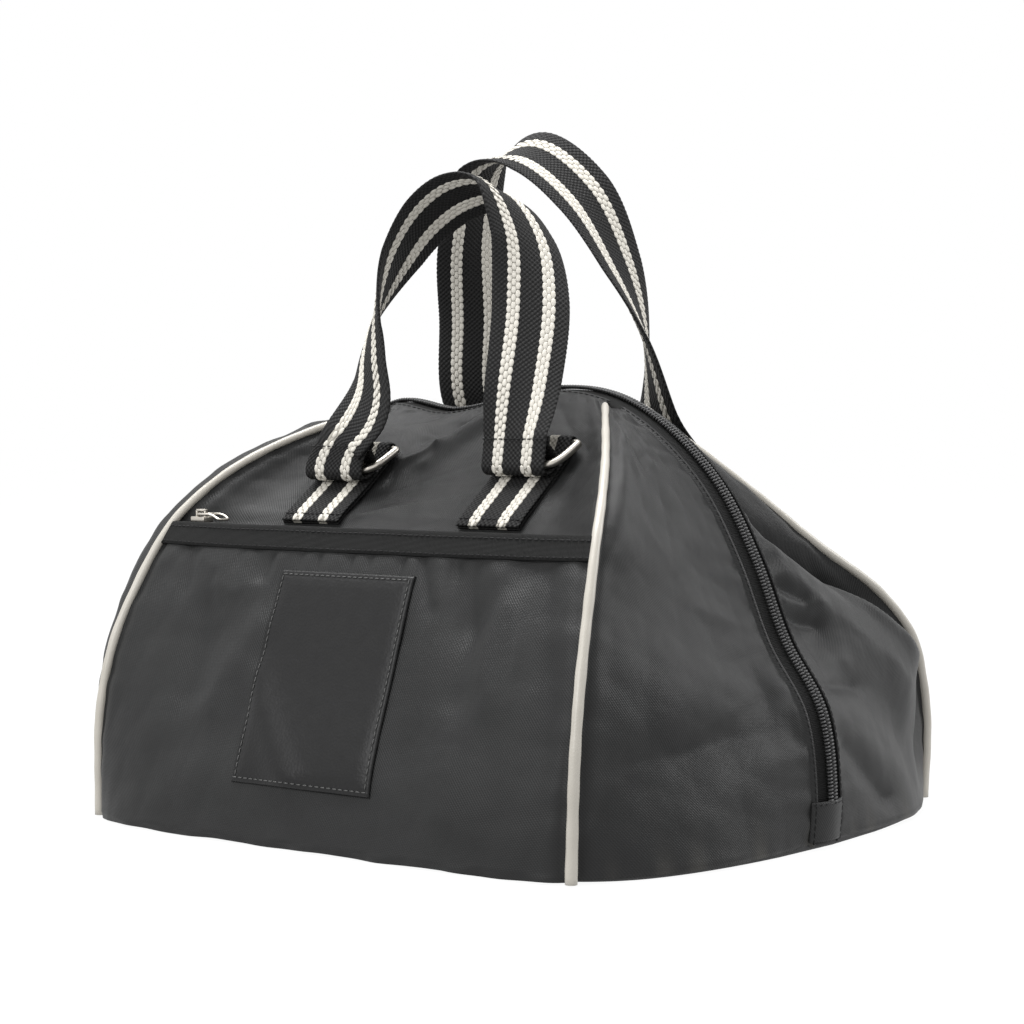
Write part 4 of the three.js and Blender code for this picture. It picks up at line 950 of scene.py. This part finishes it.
PIVOT = (-100, -88.77, 128.57)
PULL = {
    "length": 15, "width": 6.4, "wire": 0.6, "bend_at": 9, "bend_drop": 2.2, "bend_short": 1.6, "square": 0.35,
}
angle = np.linspace(0, 2 * np.pi, 96, endpoint=False)
squared = [np.sign(c) * np.abs(c) ** PULL["square"] for c in (np.cos(angle), np.sin(angle))]
along = PULL["length"] * (0.5 - 0.5 * squared[0])
across = PULL["width"] / 2 * squared[1]
past = np.maximum(0, along - PULL["bend_at"]) / (PULL["length"] - PULL["bend_at"])
out, down = along - past * PULL["bend_short"], past * PULL["bend_drop"]
path = np.stack([PIVOT[0] + out, PIVOT[1] + across, PIVOT[2] - down], -1)
pull = tube("pocket_pull_wire", path, PULL["wire"], 12, (0.02, 0.03, 1), closed=True)
dressed(pull, metal, "metal", "pocket_pull", body="pocket_pull")

# Tabs and rings. A doubled strip of the striped webbing is sewn to the panel and holds the straight side
# of a bent wire ring at its top; the ring lies down the panel and the handle's loop goes round its bow.
WEBBING = {"width": 32, "thickness": 1.8, "tab": 1.3}
STRIPE = {"at": 7.3, "half": 2.3, "column": 1.72, "pitch": 3.35, "bead": (2.0, 1.14, 0.38)}
RING = {"half_width": 18.3, "bow": 17, "bar": 2.5, "wire": 1.7, "bow_power": 4, "bar_power": 8}
TAB_X = {("front", "right"): 47, ("front", "left"): -47, ("back", "right"): 40, ("back", "left"): -54}
TAB_LEAN = {("front", "right"): -2.5, ("front", "left"): -5}
TAB_FOOT = {"front": 0.03, "back": 0.68}
TAB_TOP = {
    ("front", "right"): 0.605, ("front", "left"): 0.55, ("back", "right"): 0.845, ("back", "left"): 0.845,
}
TAB_STITCH = {"front": 0.05, "back": 0.02}
STITCH_HALF_RUN = 15
GAP = 0.3
LOOP = {"radius": RING["wire"] + GAP + WEBBING["thickness"] / 2, "stitch": 12, "lift": 1.6, "slack": 1.9}
fold_radius = RING["wire"] + GAP + WEBBING["tab"] / 2
lower_layer = GAP + WEBBING["tab"] / 2
upper_layer = lower_layer + WEBBING["tab"] + GAP
bar_height = lower_layer + fold_radius
tab_top = upper_layer + WEBBING["tab"] / 2
bow_height = tab_top + LOOP["lift"] + WEBBING["thickness"] / 2 + LOOP["radius"]
front_height = lengths_along(front_middle(np.linspace(0, 1, 400)))[-1]
back_height = lengths_along(back_middle(np.linspace(0, 1, 400)))[-1]
UNDER_TAB = {
    "front": (-1, upper_seam, upper_front_point, front_height),
    "back": (1, seams["back"], back_point, back_height),
}

webbing, tree, shader = new_material(
    "webbing_black", (0.012, 0.012, 0.0125), 0.7, **{"Specular IOR Level": 0.2}
)
thread_place = node(tree, "ShaderNodeUVMap", uv_map="cloth")[0]
u, v, _ = node(tree, "ShaderNodeSeparateXYZ", {0: thread_place})
from_middle = maths(tree, "ABSOLUTE", u)
from_stripe = maths(tree, "ABSOLUTE", maths(tree, "SUBTRACT", from_middle, STRIPE["at"] * MM))
under_stripe = maths(tree, "LESS_THAN", from_stripe, STRIPE["half"] * MM)
basket = maths(tree, "MULTIPLY", waves(tree, u, 2.3 * MM), waves(tree, v, 2.1 * MM))
pebble = maths(tree, "MULTIPLY_ADD", basket, 0.5)
pebble.node.inputs[2].default_value = 0.5
# Painted highlight and shade: the black is lighter on the weave's raised tops and darker in its dips,
# following the bump's pattern.
black = mixed(tree, pebble, (0.003, 0.003, 0.0032), (0.015, 0.0148, 0.0147))
tree.links.new(mixed(tree, under_stripe, black, (0.3, 0.285, 0.25)), shader.inputs["Base Color"])
bumped(tree, shader, pebble, 0.0006, 0.8)
stripe_cream, tree, shader = new_material(
    "stripe_cream", (0.56, 0.535, 0.48), 0.6, **{"Specular IOR Level": 0.25}
)
place = node(tree, "ShaderNodeTexCoord")["Object"]
fibre = node(tree, "ShaderNodeTexNoise", {"Vector": place, "Scale": 2200.0, "Detail": 2.0})[0]
tree.links.new(mixed(tree, fibre, (0.43, 0.41, 0.363), (0.58, 0.558, 0.51)), shader.inputs["Base Color"])


def strap(name, path, across, thickness, cup):
    run = lengths_along(path)
    tangent = np.gradient(path, axis=0)
    tangent /= np.linalg.norm(tangent, axis=1, keepdims=True)
    across = across - tangent * np.sum(across * tangent, axis=1, keepdims=True)
    across /= np.linalg.norm(across, axis=1, keepdims=True)
    through = np.cross(across, tangent)
    half_width = WEBBING["width"] / 2

    def surface(x, height):
        lift = cup[:, None] * ((x / half_width) ** 2 - 0.4) + height
        return path[:, None] + across[:, None] * x[..., None] + through[:, None] * lift[..., None]

    c = np.sin(np.linspace(-1, 1, 21) * np.pi / 2)
    half = thickness / 2 * (1 - np.abs(c) ** 14) ** 0.5
    ring_x = np.concatenate([c, c[-2:0:-1]]) * half_width
    ring_height = np.concatenate([half, -half[-2:0:-1]])
    frayed = 1 + 0.008 * np.sin(run / 1.05 * np.pi)[:, None] * (np.abs(ring_x) > half_width - 0.6)
    points = surface(ring_x * frayed, ring_height[None])
    count = len(ring_x)
    index = np.arange(len(path) * count).reshape(len(path), count)
    after = np.roll(index, -1, axis=1)
    sides = np.stack([index[:-1], after[:-1], after[1:], index[1:]], -1).reshape(-1, 4).tolist()
    made = put(name, points.reshape(-1, 3) * MM, [*sides, index[0][::-1], index[-1]])
    lay_out(made, np.stack(np.broadcast_arrays(ring_x[None], run[:, None]), -1))

    def beads(way, first=0.0, spare=0.0):
        spots = []
        for stripe in (-STRIPE["at"], STRIPE["at"]):
            for k in (-1, 0, 1):
                x = np.full((len(path), 1), stripe + k * STRIPE["column"])
                line = surface(x, np.array([[way * thickness / 2]]))[:, 0]
                up = way * (through - across * (cup * 2 * x[:, 0] / half_width**2)[:, None])
                start = first + (0.5 * STRIPE["pitch"] if k == 0 else 0)
                stops = np.arange(start, run[-1] - spare, STRIPE["pitch"])
                at, ahead, behind = (read_off(stops + d, run, line) for d in (0, 0.5, -0.5))
                spots.append((at, ahead - behind, read_off(stops, run, up)))
        return spots

    return made, beads


def slope_at(face, name, t):
    towards, seam, point_at, _ = UNDER_TAB[face]
    shares = np.array([t - 0.01, t, t + 0.01])
    below, point, above = point_at(TAB_X[face, name] / seam(shares)[:, 0], shares) * (0, 1, 1)
    uphill = above - below
    uphill /= np.linalg.norm(uphill)
    return point, uphill, np.array([0, towards * uphill[2], -towards * uphill[1]])


def hanging(face, name):
    top_share = TAB_TOP[face, name]
    point, uphill, normal = slope_at(face, name, top_share)
    bar = point + normal * bar_height
    reach = RING["bow"] + RING["bar"]
    low_point, _, low_normal = slope_at(face, name, top_share - reach / UNDER_TAB[face][3])
    rise = bar - (low_point + low_normal * bow_height)
    rise /= np.linalg.norm(rise)
    bow = bar - rise * reach
    return {
        "bar": bar, "bow": bow, "rise": rise, "uphill": uphill, "normal": normal, "ring_up": low_normal,
    }


def tab_path(face, name):
    hung = hanging(face, name)
    top_share, low_share = TAB_TOP[face, name], TAB_FOOT[face]
    slack = top_share - 9 / UNDER_TAB[face][3]

    def on_panel(t, lift):
        point, _, normal = slope_at(face, name, t)
        return point + normal * lift

    under = [on_panel(t, lower_layer) for t in np.linspace(low_share, top_share, 14)]
    fold = [
        hung["bar"] + fold_radius * (hung["uphill"] * math.cos(a) + hung["normal"] * math.sin(a))
        for a in np.linspace(-math.pi / 2, math.pi / 2, 15)[1:]
    ]
    over = [on_panel(t, upper_layer) for t in np.linspace(slack, low_share, 12)]
    return np.array([*under, *fold, *over])


def resampled(points, step):
    run = lengths_along(points)
    return evenly_along(points)(np.linspace(0, 1, max(8, int(run[-1] / step))))


def sideways_by(x):
    return np.stack([x, 0 * x, 0 * x], -1)


turn = np.linspace(0, 2 * np.pi, 120, endpoint=False)
stripe_spots = []
for face in ("front", "back"):
    for name in ("right", "left"):
        offset = np.array([TAB_X[face, name], 0, 0])
        path = resampled(tab_path(face, name), 0.9) + offset
        sideways = np.tile((1.0, 0, 0), (len(path), 1))
        tab, beads = strap(f"tab_webbing_{face}_{name}", path, sideways, WEBBING["tab"], np.zeros(len(path)))
        dressed(tab, webbing, "webbing", f"tab_{face}_{name}")
        hung = hanging(face, name)
        foot_z = slope_at(face, name, TAB_FOOT[face])[0][2]

        def leaned(points):
            down = np.clip((hung["bar"][2] - points[:, 2]) / (hung["bar"][2] - foot_z), 0, 1)
            return points + sideways_by(TAB_LEAN.get((face, name), 0) * down**2)

        for corner in tab.data.vertices:
            corner.co = leaned(np.array([corner.co]) / MM)[0] * MM
        laid = beads(-1 if face == "front" else 1, lengths_along(path)[-1] * 0.5 + 12)
        stripe_spots += [(leaned(at), along, up) for at, along, up in laid]
        c, s = np.cos(turn), np.sin(turn)
        power = np.where(s > 0, RING["bow_power"], RING["bar_power"])
        depth = np.where(s > 0, RING["bow"], RING["bar"])
        x = RING["half_width"] * np.sign(c) * np.abs(c) ** (2 / power)
        down = depth * np.sign(s) * np.abs(s) ** (2 / power)
        path = hung["bow"] + hung["rise"] * (RING["bow"] - down)[:, None] + sideways_by(x) + offset
        ring = tube(f"ring_wire_{face}_{name}", path, RING["wire"], 16, hung["ring_up"], closed=True)
        dressed(ring, metal, "metal", f"ring_{face}_{name}")
        point, _, normal = slope_at(face, name, TAB_FOOT[face] + TAB_STITCH[face])
        across = np.linspace(-STITCH_HALF_RUN, STITCH_HALF_RUN, 12)
        line = point + normal * (tab_top + 0.1) + offset + sideways_by(across)
        stitch_lines.append((leaned(line), np.tile(normal, (12, 1))))

# Handles. Two long straps of the same webbing. Each end goes round a ring's bow and is sewn to the back
# of its own leg. The straps twist on their way up, and the front one's left leg leans to the right.
HANDLE_CUP, BARE_END = -2, 16
LEG_LEAN = {"shift": 7.5, "from": 148, "most": 166, "to": 196}
FRONT_HANDLE = [
    (46, -52, 182, 24, 0), (42, -41, 217, 42, -4), (34, -36, 245, 70, -12), (20, -38, 263.5, 86, -20),
    (4, -41, 263, 92, -27), (-10, -45, 254, 98, -27), (-20.5, -50, 238, 108, -24), (-31, -54, 210, 140, -16),
    (-33.5, -58, 182, 162, -6),
]
BACK_HANDLE = [
    (42, 50, 174, 26, -4), (37.5, 46, 207, 57, -8), (28.5, 40, 237, 83, -20), (12.5, 33, 269, 101, -32),
    (-14, 28, 288, 104, -30), (-34, 25, 282, 104, -18), (-47, 30, 252, 115, -8), (-53, 39, 216, 142, 0),
    (-55.5, 43, 180, 154, 0),
]


def handle_loop(face, name, leg_foot):
    hung = hanging(face, name)
    towards = UNDER_TAB[face][0]
    leg = np.array([0, leg_foot[1], leg_foot[2]]) - hung["bow"]
    leg /= np.linalg.norm(leg)
    rear = np.array([0, -towards * leg[2], towards * leg[1]])
    half = (WEBBING["width"] / 2 / RING["half_width"]) ** RING["bow_power"]
    bow_rise = RING["bow"] * (1 - (1 - half) ** (1 / RING["bow_power"]))
    far = hung["bow"] + hung["rise"] * (bow_rise + LOOP["slack"])

    def around(centre, degrees):
        a = math.radians(degrees)
        return centre - LOOP["radius"] * (rear * math.cos(a) + leg * math.sin(a))

    flat = 180 - math.degrees(math.acos(min(1, abs(hung["rise"] @ leg))))
    start = around(hung["bow"], 0)
    sewn = start + leg * LOOP["stitch"] + rear * (WEBBING["thickness"] + GAP)
    return np.array([
        sewn, sewn - leg * LOOP["stitch"] / 4, *(around(far, d) for d in np.linspace(205, flat, 8)),
        *(around(hung["bow"], d) for d in np.linspace(flat, 0, 24)), start + leg * LOOP["stitch"],
    ]), leg, rear


def leg_leaned(points):
    x, z = points[:, 0], points[:, 2]
    going = smooth_step(z, LEG_LEAN["from"], LEG_LEAN["most"])
    coming_back = 1 - smooth_step(z, LEG_LEAN["most"], LEG_LEAN["to"])
    return points + (LEG_LEAN["shift"] * (going * coming_back) * (x < 0))[:, None] * (1, 0, 0)


for face, rows in (("front", FRONT_HANDLE), ("back", BACK_HANDLE)):
    rows = np.array(rows, float)
    right, right_leg, right_rear = handle_loop(face, "right", rows[0])
    left, left_leg, left_rear = handle_loop(face, "left", rows[-1])
    right = right + (TAB_X[face, "right"], 0, 0)
    left = (left + (TAB_X[face, "left"], 0, 0))[::-1]
    spine = spline([right[-1], *rows[:, :3], left[0]])
    twist = spline([(0, 0, 0), *np.column_stack([rows[:, 3:], np.zeros(len(rows))]), (180, 0, 0)])
    shares = np.linspace(0, 1, 400)[1:-1]
    path = np.concatenate([right, spine(shares), left])
    turned_over = np.tile((180.0, 0, 0), (len(left), 1))
    turns = np.concatenate([np.zeros((len(right), 3)), twist(shares), turned_over])
    run = lengths_along(path)
    even = np.linspace(0, run[-1], int(run[-1]))
    path = read_off(even, run, path)
    angle, tilt = (np.radians(np.interp(even, run, turns[:, k])) for k in (0, 1))
    way = 1 if face == "front" else -1
    level = np.cos(tilt)
    across = np.stack([level * np.cos(angle), way * level * np.sin(angle), np.sin(tilt)], -1)
    free = np.minimum(even, even[-1] - even)
    cup = HANDLE_CUP * smooth_step(free, 45, 110)
    handle, beads = strap(f"handle_webbing_{face}", path, across, WEBBING["thickness"], cup)
    spots = [spot for way in (1, -1) for spot in beads(way, BARE_END, BARE_END)]
    if face == "front":
        for corner in handle.data.vertices:
            corner.co = leg_leaned(np.array([corner.co]) / MM)[0] * MM
        spots = [
            (leg_leaned(at), leg_leaned(at + along) - leg_leaned(at), up) for at, along, up in spots
        ]
    dressed(handle, webbing, "webbing", f"handle_{face}")
    dressed(repeat_on(f"handle_stripes_{face}", spots, STRIPE["bead"], stripe_cream), None, "webbing")
    for end, leg, rear in ((right[-1], right_leg, right_rear), (left[0], left_leg, left_rear)):
        x = np.linspace(-STITCH_HALF_RUN, STITCH_HALF_RUN, 12)
        line = end - leg * 1.5 - rear * (WEBBING["thickness"] / 2 + 0.45) + sideways_by(x)
        stitch_lines.append((leg_leaned(line) if face == "front" else line, np.tile(-rear, (12, 1))))

# The tabs' stripes and all the threads are laid once every line they follow is known.
dressed(repeat_on("tab_stripes", stripe_spots, STRIPE["bead"], stripe_cream), None, "webbing")
stitches = [spaced(line, ups, STITCH["spacing"]) for line, ups in stitch_lines]
dressed(repeat_on("threads", stitches, STITCH["half"], thread_black), None, "ribbon")
